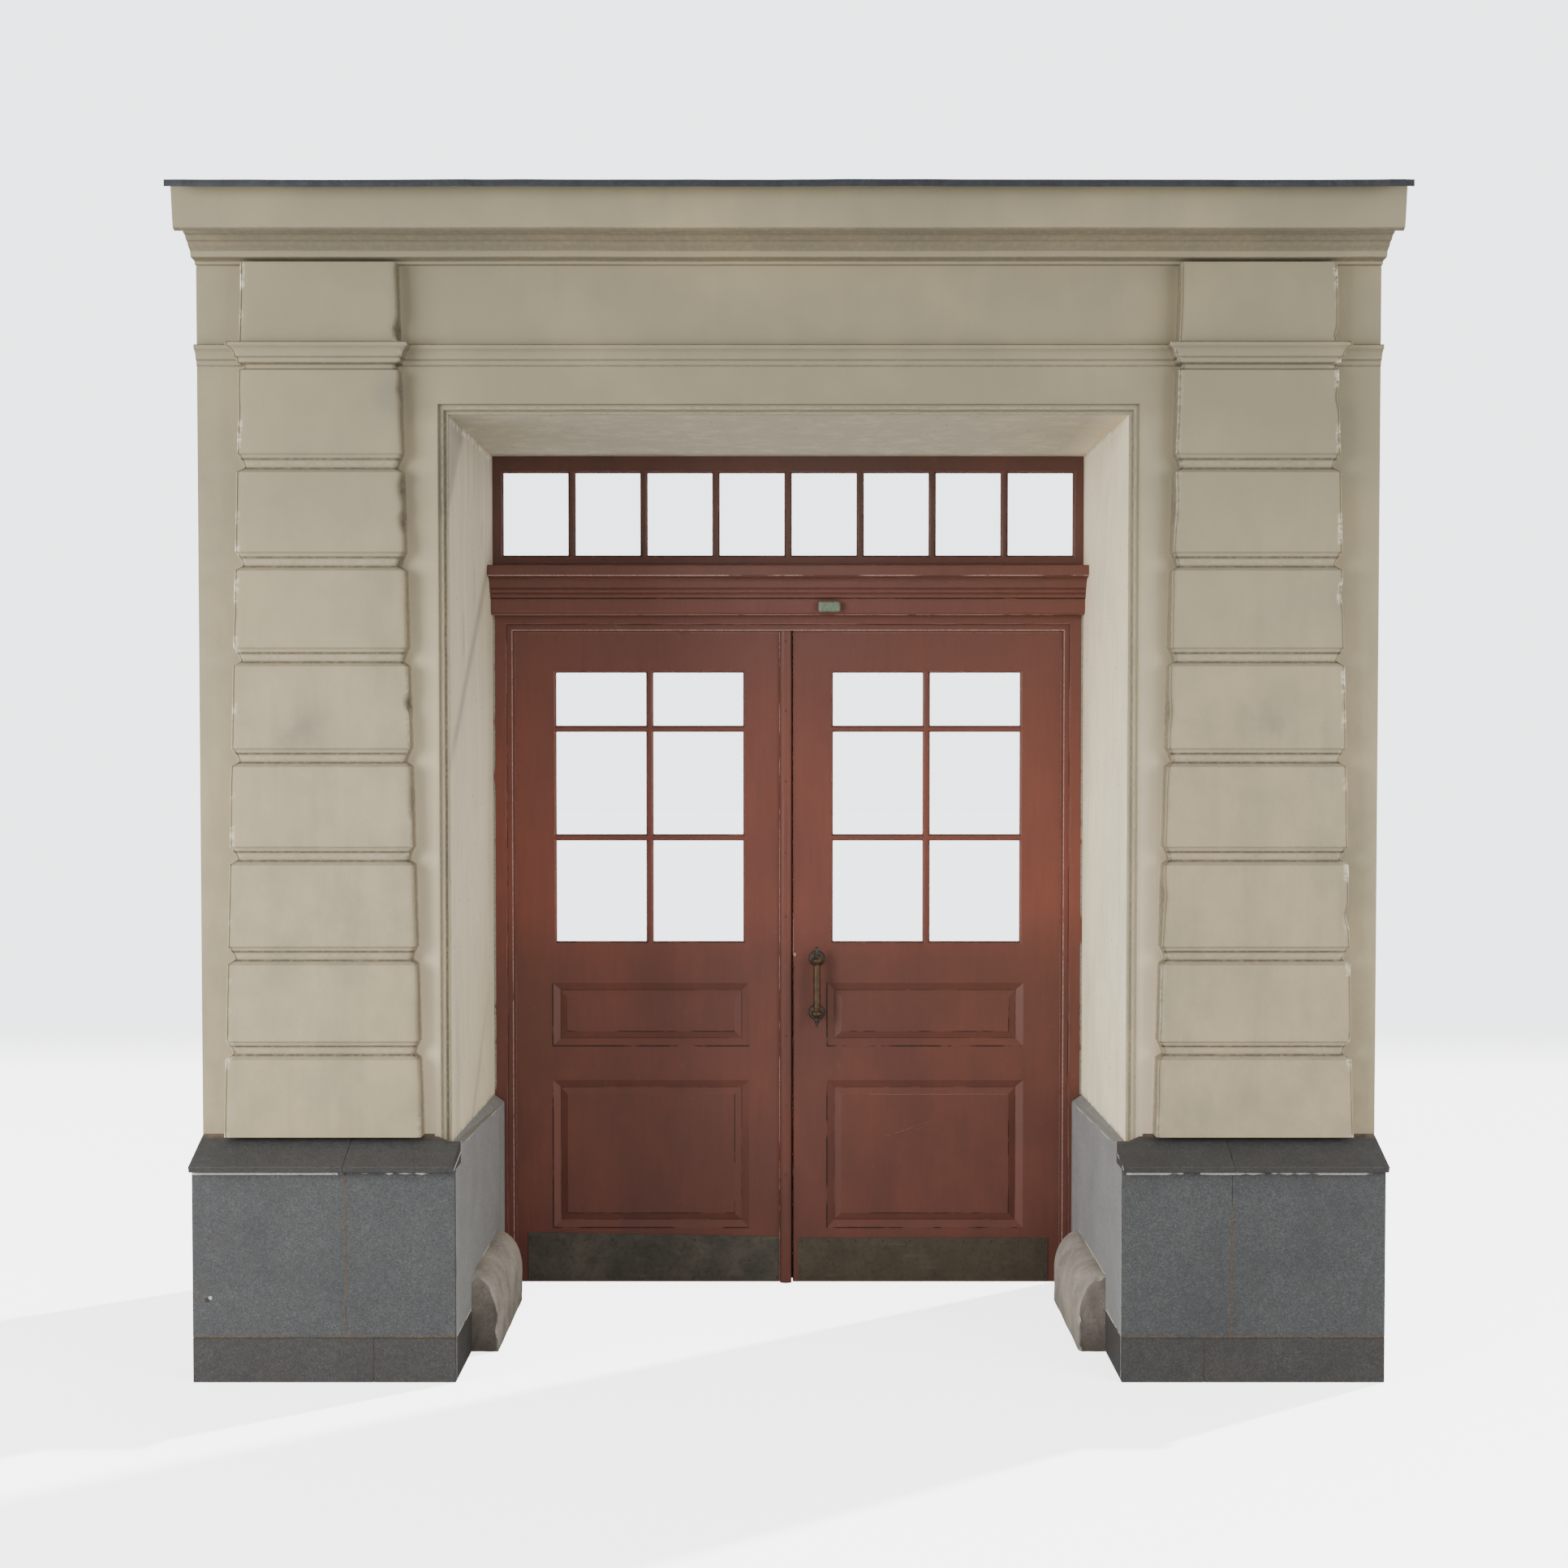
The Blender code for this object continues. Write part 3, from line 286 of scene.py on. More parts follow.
def reveal_paint():
    """Plaster of the reveal: greyer, with long trowel streaks, small pits and chips, painted lighter than the
    wall's render as painted light, palest on the right jamb and darker towards the top as painted shade.
    """
    p = Paint("reveal_plaster")
    cloud = p.noise(4.0, 5.0, 0.6)
    trowel = p.noise(60.0, 4.0, 0.62, stretch=(1.0, 1.0, 0.13), warp=0.3)
    long_streak = p.noise(14.0, 3.0, 0.6, stretch=(1.0, 1.0, 0.06))
    pits = p.cells(16.0)
    grain = p.noise(190.0, 2.0, 0.6)
    edge = p.noise(60.0, 4.0, 0.65)
    height = p.axis("Z")
    # Painted light and shade: a lit colour for the right jamb, a shaded one elsewhere, each darker towards
    # the top
    painted_lit_plaster = p.mix(p.span(height, 0.9, 2.6), (255, 243, 208), (226, 212, 182))
    painted_shaded_plaster = p.mix(p.span(height, 0.7, 2.8), (224, 211, 180), (178, 169, 149))
    colour = p.lay(painted_shaded_plaster,
                   (p.axis("X"), 0.90, 1.0, 0.0, 1.0, painted_lit_plaster),
                   (cloud, 0.42, 0.66, 0.0, 0.24, (180, 173, 152)),
                   (long_streak, 0.48, 0.70, 0.0, 0.35, (224, 211, 180)),
                   (trowel, 0.45, 0.75, 0.0, 0.18, (140, 134, 118)),
                   (pits, 0.055, 0.085, 0.6, 0.0, (110, 103, 90)))
    # The marks here carry stains and painted shadows, dirt and painted shade, pale wear and painted
    # highlights
    dirt, pale, stain = p.marks()
    colour = p.mix(stain, colour, (112, 107, 98))
    colour = p.mix(p.times(dirt, p.span(edge, 0.25, 0.55, 0.45, 1.0)), colour, (84, 78, 68))
    colour = p.mix(p.times(pale, p.span(edge, 0.46, 0.56)), colour, (232, 226, 210))
    normal = p.bump(trowel, 0.55, 0.003)
    normal = p.bump(p.span(pits, 0.03, 0.11), 0.5, 0.003, normal)
    normal = p.bump(grain, 0.2, 0.0006, normal)
    return p.finish(colour, 0.92, normal, Specular_IOR_Level=0.2)


def granite_paint(name, base, dark, light, warm, back_dirt=0.0):
    """Fine-grained granite: light, dark and clear crystals a few millimetres across."""
    p = Paint(name)
    split = p.add("ShaderNodeSeparateColor")
    p.put(split.inputs[0], p.cells(320.0, "Color"))
    shade = split.outputs[0]
    patch = p.noise(34.0, 4.0, 0.6)
    colour = p.lay(base,
                   (shade, 0.0, 0.5, 0.65, 0.0, dark),
                   (shade, 0.72, 1.0, 0.0, 0.55, light),
                   (p.noise(420.0, 2.0, 0.6), 0.4, 0.65, 0.0, 0.35, dark),
                   (p.noise(5.0, 5.0, 0.65), 0.40, 0.70, 0.0, 0.35, dark),
                   (patch, 0.50, 0.72, 0.0, 0.12, light),
                   (p.noise(9.0, 4.0, 0.6, shift=(5, 5, 5)), 0.55, 0.75, 0.0, 0.35, warm))
    if back_dirt:
        near = p.span(p.axis("Y"), FACE_Y - 0.026, FACE_Y - 0.004)
        patchy = p.span(p.noise(24.0, 4.0, 0.6), 0.35, 0.55)
        colour = p.mix(p.times(near, patchy, back_dirt), colour, (116, 96, 82))
    normal = p.bump(shade, 0.15, 0.0004)
    normal = p.bump(patch, 0.15, 0.0012, normal)
    return p.finish(colour, p.span(shade, 0.0, 1.0, 0.55, 0.80), normal, Specular_IOR_Level=0.35)


def guard_paint():
    """Worn brown stone, with dirt at the foot and pale chipped arrises."""
    p = Paint("worn_brown_stone")
    cloud = p.noise(12.0, 5.0, 0.62)
    fine = p.noise(120.0, 4.0, 0.7)
    wide = p.noise(4.0, 3.0, 0.5, shift=(2, 3, 1))
    colour = p.lay((168, 161, 151),
                   (cloud, 0.35, 0.70, 0.0, 1.0, (130, 123, 115)),
                   (fine, 0.45, 0.72, 0.0, 0.5, (92, 84, 75)),
                   (wide, 0.50, 0.70, 0.0, 0.5, (172, 159, 142)))
    dirt, pale, stain = p.marks()
    colour = p.mix(dirt, colour, (58, 52, 46))
    colour = p.mix(p.times(pale, p.span(fine, 0.40, 0.60)), colour, (200, 194, 184))
    colour = p.mix(stain, colour, (92, 74, 58))
    normal = p.bump(fine, 0.4, 0.0015)
    normal = p.bump(cloud, 0.3, 0.004, normal)
    return p.finish(colour, 0.85, normal, Specular_IOR_Level=0.3)


def painted_shadow_band(p, across):
    """Where a painted shadow falls down the middle of the left leaf's foot."""
    return p.times(p.span(across, -0.63, -0.56), p.span(across, -0.42, -0.36, 1.0, 0.0))


def timber_paint():
    """Red-brown oil paint, darker and browner at the top as painted shade, redder towards the middle and the
    foot.
    """
    p = Paint("painted_timber")
    height = p.axis("Z")
    wide = p.noise(1.6, 3.0, 0.55, shift=(4, 2, 9))
    cloud = p.noise(6.0, 5.0, 0.6, stretch=(1.0, 1.0, 0.5))
    brush = p.noise(40.0, 4.0, 0.6, stretch=(1.6, 1.6, 0.12))
    dust = p.noise(22.0, 6.0, 0.75, stretch=(1, 1, 0.7))
    colour = (99, 60, 50)
    # Upwards: redder in the middle, then browner and darker towards the top as painted shade
    bands = ((1.05, 1.35, (122, 69, 57)), (1.60, 2.25, (104, 65, 56)), (2.30, 2.60, (82, 61, 54)))
    for low, high, shade in bands:
        colour = p.mix(p.span(height, low, high, smooth=True), colour, shade)
    colour = p.lay(colour, (wide, 0.38, 0.66, 0.0, 0.55, (104, 62, 53)))
    warm = p.times(p.span(cloud, 0.45, 0.72, 0.0, 0.32), p.span(height, 1.7, 2.2, 1.0, 0.35))
    colour = p.lay(p.mix(warm, colour, (136, 76, 61)),
                   (brush, 0.45, 0.75, 0.0, 0.16, (70, 47, 42)),
                   (dust, 0.62, 0.78, 0.0, 0.30, (134, 100, 88)))
    # Painted shadow down the middle of the left leaf's foot
    shadow_stripe = p.times(painted_shadow_band(p, p.axis("X")), p.span(height, 1.02, 1.18, 0.12, 0.0))
    colour = p.mix(shadow_stripe, colour, (70, 48, 42))
    for mark, shade in zip(p.marks(), ((48, 36, 33), (178, 148, 138), (84, 54, 48))):
        colour = p.mix(mark, colour, shade)
    normal = p.bump(brush, 0.12, 0.0008)
    normal = p.bump(cloud, 0.08, 0.002, normal)
    return p.finish(colour, p.span(cloud, 0.3, 0.7, 0.42, 0.60), normal, Specular_IOR_Level=0.35)


def kick_paint():
    """Dull dark metal, browner on the right leaf, scuffed and blotched, with painted shadow across the left
    leaf's plate.
    """
    p = Paint("dark_kick_plate")
    cloud = p.noise(9.0, 6.0, 0.65)
    fine = p.noise(60.0, 5.0, 0.7)
    scuff = p.noise(30.0, 4.0, 0.6, stretch=(0.3, 1.0, 1.6))
    across = p.axis("X")
    colour = p.lay((72, 68, 61),
                   (cloud, 0.38, 0.66, 0.0, 1.0, (94, 87, 75)),
                   (across, -0.05, 0.05, 0.0, 0.45, (80, 66, 46)))
    # Painted shadow across the middle of the left leaf's plate
    colour = p.mix(p.times(painted_shadow_band(p, across), 0.25), colour, (44, 42, 38))
    colour = p.lay(colour,
                   (fine, 0.50, 0.72, 0.0, 0.45, (44, 42, 39)),
                   (scuff, 0.60, 0.74, 0.0, 0.5, (104, 96, 84)))
    normal = p.bump(cloud, 0.25, 0.002)
    normal = p.bump(fine, 0.2, 0.0006, normal)
    return p.finish(colour, p.span(fine, 0.3, 0.7, 0.42, 0.62), normal, Metallic=0.35)


def metal_paint(name, first, second, third, metallic, rough_low, rough_high, scale):
    """Aged metal: clouded by the second colour and speckled by the third."""
    p = Paint(name)
    cloud = p.noise(scale * 0.3, 5.0, 0.65)
    fine = p.noise(scale, 4.0, 0.7)
    colour = p.lay(first, (cloud, 0.36, 0.66, 0.0, 1.0, second), (fine, 0.50, 0.72, 0.0, 0.55, third))
    return p.finish(colour, p.span(cloud, 0.3, 0.7, rough_low, rough_high), p.bump(fine, 0.25, 0.0005),
                    Metallic=metallic)


def glass_paint():
    p = Paint("clear_glass")
    ripple_normal = p.bump(p.noise(3.0, 2.0, 0.5), 0.02, 0.002)
    return p.finish((0.97, 0.985, 0.98, 1.0), 0.0, ripple_normal, Transmission_Weight=1.0, IOR=1.45,
                    Specular_IOR_Level=0.5)


def matt_line_paint(name, first, second):
    """A matt, mottled paint for thin lines: mortar, wear, dirt, painted shade or painted highlight."""
    p = Paint(name)
    fine = p.noise(140.0, 4.0, 0.7)
    return p.finish(p.lay(first, (fine, 0.35, 0.65, 0.0, 1.0, second)), 0.9, p.bump(fine, 0.4, 0.001),
                    Specular_IOR_Level=0.2)


def plastic_paint():
    p = Paint("grey_green_plastic")
    fine = p.noise(70.0, 5.0, 0.7)
    colour = p.lay((112, 126, 106), (fine, 0.38, 0.66, 0.0, 1.0, (84, 92, 78)))
    return p.finish(colour, p.span(fine, 0.3, 0.7, 0.45, 0.65), p.bump(fine, 0.15, 0.0005))


render_coat = render_paint()
reveal_coat = reveal_paint()
granite = granite_paint("grey_granite", (77, 78, 78), (50, 51, 52), (106, 108, 108), (78, 73, 66))
# Granite of the reveal: the same stone painted lighter, as painted light
granite_reveal_lit = granite_paint("reveal_granite_painted_lighter", (142, 143, 142), (100, 101, 100), (178, 179, 177),
                               (128, 122, 112))
granite_base = granite_paint("dark_granite", (68, 66, 64), (44, 43, 42), (94, 92, 88), (70, 62, 54))
granite_cap = granite_paint("cap_granite", (68, 67, 65), (46, 45, 44), (88, 87, 85), (66, 60, 54), 0.8)
guard_stone = guard_paint()
timber = timber_paint()
kick_metal = kick_paint()
sheet_metal = metal_paint("flashing_metal", (48, 52, 56), (38, 41, 46), (62, 66, 69), 0.3, 0.50, 0.70, 60.0)
bronze = metal_paint("aged_bronze", (98, 78, 58), (76, 61, 47), (54, 46, 40), 0.65, 0.38, 0.55, 220.0)
dark_bronze = metal_paint("dark_bronze", (68, 65, 62), (84, 78, 70), (48, 46, 44), 0.65, 0.4, 0.55, 220.0)
brass = metal_paint("old_brass", (200, 168, 110), (158, 130, 84), (110, 92, 62), 0.8, 0.3, 0.45, 400.0)
hinge_metal = metal_paint("hinge_metal", (98, 60, 50), (82, 54, 46), (60, 44, 40), 0.2, 0.45, 0.6, 200.0)
glass = glass_paint()
plastic = plastic_paint()
mortar = matt_line_paint("pale_mortar_and_highlight", (205, 203, 196), (166, 162, 152))
rust_joint = matt_line_paint("rust_joint", (97, 83, 71), (76, 67, 58))
# Line paints: pale edges as wear and painted highlight, dark lines as dirt and painted shade, faint pale
# lines as scratches and painted highlight
worn_and_lit_edge = matt_line_paint("worn_and_lit_paint_edge", (190, 160, 152), (146, 108, 98))
grime_and_shade = matt_line_paint("dark_grime_and_shade", (66, 48, 43), (48, 38, 36))
joint_dirt = matt_line_paint("joint_dirt", (72, 64, 55), (56, 52, 48))
faint_wear_and_highlight = matt_line_paint("faint_paint_wear_and_highlight", (134, 104, 96), (110, 80, 72))
mastic = matt_line_paint("grey_mastic", (158, 157, 146), (122, 120, 110))
gap_shade_fill = matt_line_paint("gap_shade_fill", (44, 34, 32), (34, 28, 27))


def unit(value):
    return np.clip(value, 0, 1)


def grit(a, b, c):
    """Smooth noise at one place."""
    return noise.noise(Vector((a, b, c)))


class Skin:
    """Vertices, faces and painted marks of one piece, put together from grids."""

    def __init__(self):
        self.points, self.marks, self.faces, self.slots = [], [], [], []
        self.count = 0

    def grid(self, points, marks=None, slot=0, skip=None, flip=False, wrap=False):
        """points is rows x columns x 3; marks is rows x columns x 3 (dirt and painted shade, pale wear and
        painted highlight, stain and painted shadow).
        """
        rows, columns = points.shape[:2]
        if marks is None:
            marks = np.zeros(points.shape)
        base = self.count
        self.points.append(points.reshape(-1, 3))
        self.marks.append(marks.reshape(-1, 3))
        self.count += rows * columns
        for r in range(rows - 1):
            for c in range(columns if wrap else columns - 1):
                if skip is not None and skip[r, c]:
                    continue
                d = (c + 1) % columns
                quad = (base + r * columns + c, base + r * columns + d,
                        base + (r + 1) * columns + d, base + (r + 1) * columns + c)
                self.faces.append(quad[::-1] if flip else quad)
                self.slots.append(slot)

    def fan(self, loop, slot=0, flip=False):
        """One flat face over a loop of points."""
        base = self.count
        self.points.append(np.array(loop, float))
        self.marks.append(np.zeros((len(loop), 3)))
        self.count += len(loop)
        face = tuple(range(base, base + len(loop)))
        self.faces.append(face[::-1] if flip else face)
        self.slots.append(slot)

    def build(self, name, materials, body="surround", stands_for=(), smooth=True, sharp=40):
        mesh = bpy.data.meshes.new(name)
        points = np.concatenate(self.points)
        mesh.from_pydata(points.tolist(), [], self.faces)
        layer = mesh.color_attributes.new("marks", "FLOAT_COLOR", "POINT")
        marks = np.ones((len(points), 4))
        marks[:, :3] = unit(np.concatenate(self.marks))
        layer.data.foreach_set("color", marks.ravel())
        for material in materials:
            mesh.materials.append(material)
        mesh.polygons.foreach_set("material_index", self.slots)
        mesh.validate()
        if smooth:
            mesh.shade_smooth()
            mesh.set_sharp_from_angle(angle=math.radians(sharp))
        obj = bpy.data.objects.new(name, mesh)
        bpy.context.scene.collection.objects.link(obj)
        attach(obj, body)
        if stands_for:
            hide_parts(*stands_for)


def ripple(x, z, scale, seed):
    """Smooth noise from -1 to 1 over two arrays of the same shape."""
    flat = [grit(a * scale, b * scale, seed * 7.31) for a, b in zip(x.ravel(), z.ravel())]
    return np.array(flat).reshape(x.shape)


def bell(distance, width):
    """A smooth hump, 1 at no distance and fading out over about its width."""
    return np.exp(-(distance / width) ** 2)


def pilaster_knots():
    """Profile of the pilasters up the wall: z, inset of the pilaster, reach of the wall face."""
    knots = [(0.0, 0.0, 0.0)]
    shares = ((-1.0, 0.0), (-0.78, 0.90), (-0.74, 1.0), (-0.66, 0.96), (-0.30, 0.60),
              (-0.26, 0.44), (-0.05, 0.26), (-0.03, 0.08), (0.0, 0.0))
    for foot in COURSE_TOPS:
        for share, depth in shares:
            knots.append((foot + (1 + share) * GROOVE_HEIGHT, depth * GROOVE_DEPTH, 0.0))
    string_foot = STRING_TOP - STRING_HEIGHT
    knots += [(BLOCK_TOP, 0.0, 0.0), (BLOCK_TOP + 0.3 * NECK_DEPTH, NECK_DEPTH, 0.0),
              (string_foot - SEAT, NECK_DEPTH, 0.0)]
    string = ((0.0, 0.0), (0.04, 0.12), (0.26, 0.16), (0.28, 0.36), (0.45, 0.42),
              (0.62, 0.60), (0.72, 0.86), (0.76, 1.0), (0.92, 1.0), (0.99, 0.55), (1.0, 0.0))
    for share, reach in string:
        knots.append((string_foot + share * STRING_HEIGHT, -reach * STRING_REACH, reach * STRING_REACH))
    knots.append((CORNICE_SOFFIT + 0.2, 0.0, 0.0))
    return np.array(knots)


KNOTS = pilaster_knots()


def smooth_profile(z, column, radius):
    """A column of the knots at heights z, rounded over a small radius."""
    total = np.zeros_like(z)
    offsets = np.linspace(-radius, radius, 5)
    for offset in offsets:
        total += np.interp(z + offset, KNOTS[:, 0], KNOTS[:, column])
    return total / len(offsets)


def front_rows():
    """Heights of the front's rows: close together at grooves and mouldings."""
    rows = [CAP_TOP + SEAT]
    margin = 0.004
    fine = [(foot - margin, foot + GROOVE_HEIGHT + margin) for foot in COURSE_TOPS]
    fine.append((BLOCK_TOP - margin, STRING_TOP + margin))
    fine.append((OPENING_TOP + 2 * MOULD_STEP - margin / 2, OPENING_TOP + 2 * MOULD_STEP + margin / 2))

    def add(high, step):
        steps = max(2, int(round((high - rows[-1]) / step)))
        rows.extend(np.linspace(rows[-1], high, steps + 1)[1:])

    for low, high in sorted(fine):
        add(low, FLAT_STEP)
        add(high, MOULDED_STEP)
    add(CORNICE_SOFFIT, FLAT_STEP)
    return np.array(sorted(set(round(r, 6) for r in rows)))


# Dirt and painted shade in a groove: share of its height, strength, half width
GROOVE_DIRT_AND_SHADE = ((0.0, 0.34, 0.0020), (0.22, 0.90, 0.0038), (0.72, 0.95, 0.0038), (1.0, 0.40, 0.0022))

# Chips of the pilaster arrises: side, edge (1 inner, -1 outer), height, half length, depth
CHIPS = ((-1, 1, 3.075, 0.020, 0.012), (-1, 1, 2.615, 0.030, 0.009), (-1, 1, 2.520, 0.024, 0.011),
         (-1, 1, 2.400, 0.016, 0.009), (-1, 1, 1.985, 0.022, 0.013), (-1, 1, 1.700, 0.050, 0.005),
         (-1, 1, 2.905, 0.018, 0.006), (-1, -1, 2.840, 0.040, 0.003), (-1, -1, 2.250, 0.030, 0.003),
         (1, 1, 2.560, 0.050, 0.005), (1, 1, 1.960, 0.040, 0.006), (1, 1, 1.420, 0.040, 0.005),
         (1, -1, 3.060, 0.020, 0.009), (1, -1, 2.880, 0.028, 0.008), (1, -1, 2.300, 0.030, 0.007),
         (1, -1, 1.360, 0.028, 0.010), (1, -1, 0.980, 0.030, 0.005))

# Grey stains on the faces: x, z, radius across, radius up, strength
STAINS = ((-1.178, 2.885, 0.055, 0.075, 0.55), (-1.430, 1.905, 0.120, 0.075, 0.50),
          (1.400, 1.925, 0.095, 0.085, 0.55), (1.545, 2.300, 0.10, 0.06, 0.25),
          (-1.20, 2.28, 0.06, 0.16, 0.30), (1.22, 1.86, 0.05, 0.10, 0.30), (-1.62, 2.10, 0.04, 0.30, 0.18),
          (-1.70, 2.45, 0.06, 0.35, 0.28), (-1.08, 1.35, 0.04, 0.30, 0.12), (1.64, 0.95, 0.05, 0.12, 0.20),
          (-1.30, 1.35, 0.18, 0.10, 0.15))


def string_dirt_and_shade(z):
    """Dirt on the top of the string course, and painted shade in the two quirks at its foot."""
    foot = STRING_TOP - STRING_HEIGHT
    dirt = 0.62 * bell(z - STRING_TOP + 0.001, 0.0030) + 0.70 * bell(z - foot - 0.001, 0.0024)
    return dirt + 0.62 * bell(z - foot - 0.27 * STRING_HEIGHT, 0.0022)


def pilaster_side(skin, side, rows):
    """Front of one end of the wall, from its cut end to the architrave, pilaster included."""
    inset = smooth_profile(rows, 1, 0.0016)
    wall_reach = smooth_profile(rows, 2, 0.0012)
    share = (rows - CAP_TOP) / (CORNICE_SOFFIT - CAP_TOP)
    half = (FOOT_WIDTH + (TOP_WIDTH - FOOT_WIDTH) * share) / 2 - inset
    front = FOOT_REACH + (TOP_REACH - FOOT_REACH) * share - inset
    outer, inner = PILASTER_X + half, PILASTER_X - half
    seed = 3.0 if side < 0 else 11.0

    def wander(edge, amount):
        shift = np.array([grit(z * 9.0, seed, edge * 3.7) + 0.35 * grit(z * 42.0, seed, edge * 1.9 + 5)
                          for z in rows]) * amount
        for chip_side, chip_edge, z, size, depth in CHIPS:
            if chip_side == side and chip_edge == edge:
                shift -= depth * bell(rows - z, size)
        return shift

    inner_edge = inner - wander(1, 0.0030)
    outer_edge = outer + wander(-1, 0.0014)
    radius = 0.0035
    margin = 0.003
    quarter = [1 - math.sin(a) for a in np.linspace(0, math.pi / 2, 4)]
    mould_edge = OPENING_HALF + 2 * MOULD_STEP
    depth = front - wall_reach

    columns, reaches, tags = [], [], []

    def column(x, reach, tag):
        columns.append(x)
        reaches.append(reach)
        tags.append(tag)

    for t in np.linspace(0, 1, 9):
        column(HALF_WIDTH + (outer_edge + margin - HALF_WIDTH) * t, wall_reach, "wall")
    column(outer_edge, wall_reach + 0.0008, "corner")
    for t in (0.35, 0.7):
        column(outer_edge, wall_reach + (depth - radius) * t, "side")
    for across in quarter[::-1]:
        column(outer_edge - radius * (1 - across), front - radius * across, "arris")
    for t in np.linspace(0, 1, 38)[1:-1]:
        column(outer_edge - radius + (inner_edge - outer_edge + 2 * radius) * t, front, "face")
    for across in quarter:
        column(inner_edge + radius * (1 - across), front - radius * across, "arris_in")
    for t in (0.7, 0.35):
        column(inner + (inner_edge - inner) * t, wall_reach + (depth - radius) * t, "side")
    column(inner, wall_reach + 0.0008, "corner")
    for t in np.linspace(0, 1, 13):
        column(inner - margin + (mould_edge - inner + margin) * t, wall_reach, "wall")

    x = np.stack(columns, axis=1)
    reach = np.stack(reaches, axis=1)
    z = np.repeat(rows[:, None], x.shape[1], axis=1)
    z[0] = np.where(x[0] < PLINTH_CORNER, slab_bed(0.0) + SEAT, z[0])
    fade = unit((HALF_WIDTH - x) / 0.03) * unit((x - mould_edge) / 0.03)
    fade *= unit((CORNICE_SOFFIT - z) / 0.03) * unit((z - CAP_TOP - SEAT) / 0.02)
    tags = np.array(tags)
    face = np.isin(tags, ("face", "arris", "arris_in"))
    waver = ripple(x * side, z, 3.4, seed) * 0.0016 + ripple(x * side, z, 13.0, seed + 1) * 0.0007
    reach = reach + waver * fade * np.where(face, 1.0, 0.6)

    marks = np.zeros(x.shape + (3,))
    rise = np.gradient(reach, axis=0) / np.maximum(np.gradient(z, axis=0), 1e-6)
    ledge = unit(-rise / 2.2)
    hollow = unit(inset / GROOVE_DEPTH)[:, None]
    marks[..., 0] = ledge * np.where(z > BLOCK_TOP - 0.01, 0.62, 0.25 * face) + string_dirt_and_shade(z)
    for foot in COURSE_TOPS:
        for share, strength, width in GROOVE_DIRT_AND_SHADE:
            marks[..., 0] += strength * bell(z - foot - share * GROOVE_HEIGHT, width) * face
        # A faint pale stripe halfway up the groove: painted highlight
        marks[..., 1] += 0.08 * bell(z - foot - 0.48 * GROOVE_HEIGHT, 0.0060) * face
    # Darker sides and corners of the pilaster, full on its inner side: dirt and painted shade
    corner = np.array([{"corner": 0.60, "side": 0.58, "arris_in": 0.22}.get(tag, 0.0) for tag in tags])
    inner_side = np.arange(len(tags)) > len(tags) // 2
    marks[..., 0] += corner * np.where(inner_side, 1.0, 0.25)
    for chip_side, chip_edge, at, size, depth_in in CHIPS:
        if chip_side == side:
            edge_x = (inner if chip_edge > 0 else outer)[:, None]
            near = bell(z - at, size) * bell(x - edge_x - 0.004 * chip_edge, 0.006)
            marks[..., 0] += near * depth_in * 36
    # Pale arrises, strong outside and faint inside: wear and painted highlight
    pale = unit((np.array([grit(level * 11.0, seed * 2, 4.0) for level in rows]) - 0.02) / 0.18)
    marks[..., 1] += (tags == "arris") * pale[:, None] * (1 - hollow)
    marks[..., 1] += (tags == "arris_in") * pale[::-1, None] * 0.25
    for sx, sz, rx, rz, strength in STAINS:
        if sx * side > 0:
            marks[..., 2] += strength * np.exp(-((x * side - sx) / rx) ** 2 - ((z - sz) / rz) ** 2)
    points = np.stack((x * side, FACE_Y - reach, z), axis=2)
    inside = points[0].copy()
    inside[:, 1] = FACE_Y + PLINTH_BED
    skin.grid(points, marks, flip=side > 0)
    skin.grid(np.stack((inside, points[0])), flip=side > 0)


def lintel_front(skin, rows):
    """Front above the opening, between the two sides, with the string course across it."""
    mould_edge = OPENING_HALF + 2 * MOULD_STEP
    low = OPENING_TOP + 2 * MOULD_STEP
    rows = rows[rows >= low - 1e-5]
    rows[0] = low
    wall_reach = smooth_profile(rows, 2, 0.0012)
    xs = np.linspace(-mould_edge, mould_edge, 120)
    x, z = np.meshgrid(xs, rows)
    reach = np.repeat(wall_reach[:, None], len(xs), axis=1)
    fade = unit((mould_edge - abs(x)) / 0.03) * unit((CORNICE_SOFFIT - z) / 0.03)
    fade *= unit((z - low) / 0.02)
    reach = reach + (ripple(x, z, 3.0, 5.0) * 0.0018 + ripple(x, z, 12.0, 6.0) * 0.0006) * fade
    marks = np.zeros(x.shape + (3,))
    rise = np.gradient(reach, axis=0) / np.maximum(np.gradient(z, axis=0), 1e-6)
    marks[..., 0] = 0.55 * unit(-rise / 2.2) + string_dirt_and_shade(z)
    points = np.stack((x, FACE_Y - reach, z), axis=2)
    skin.grid(points, marks)


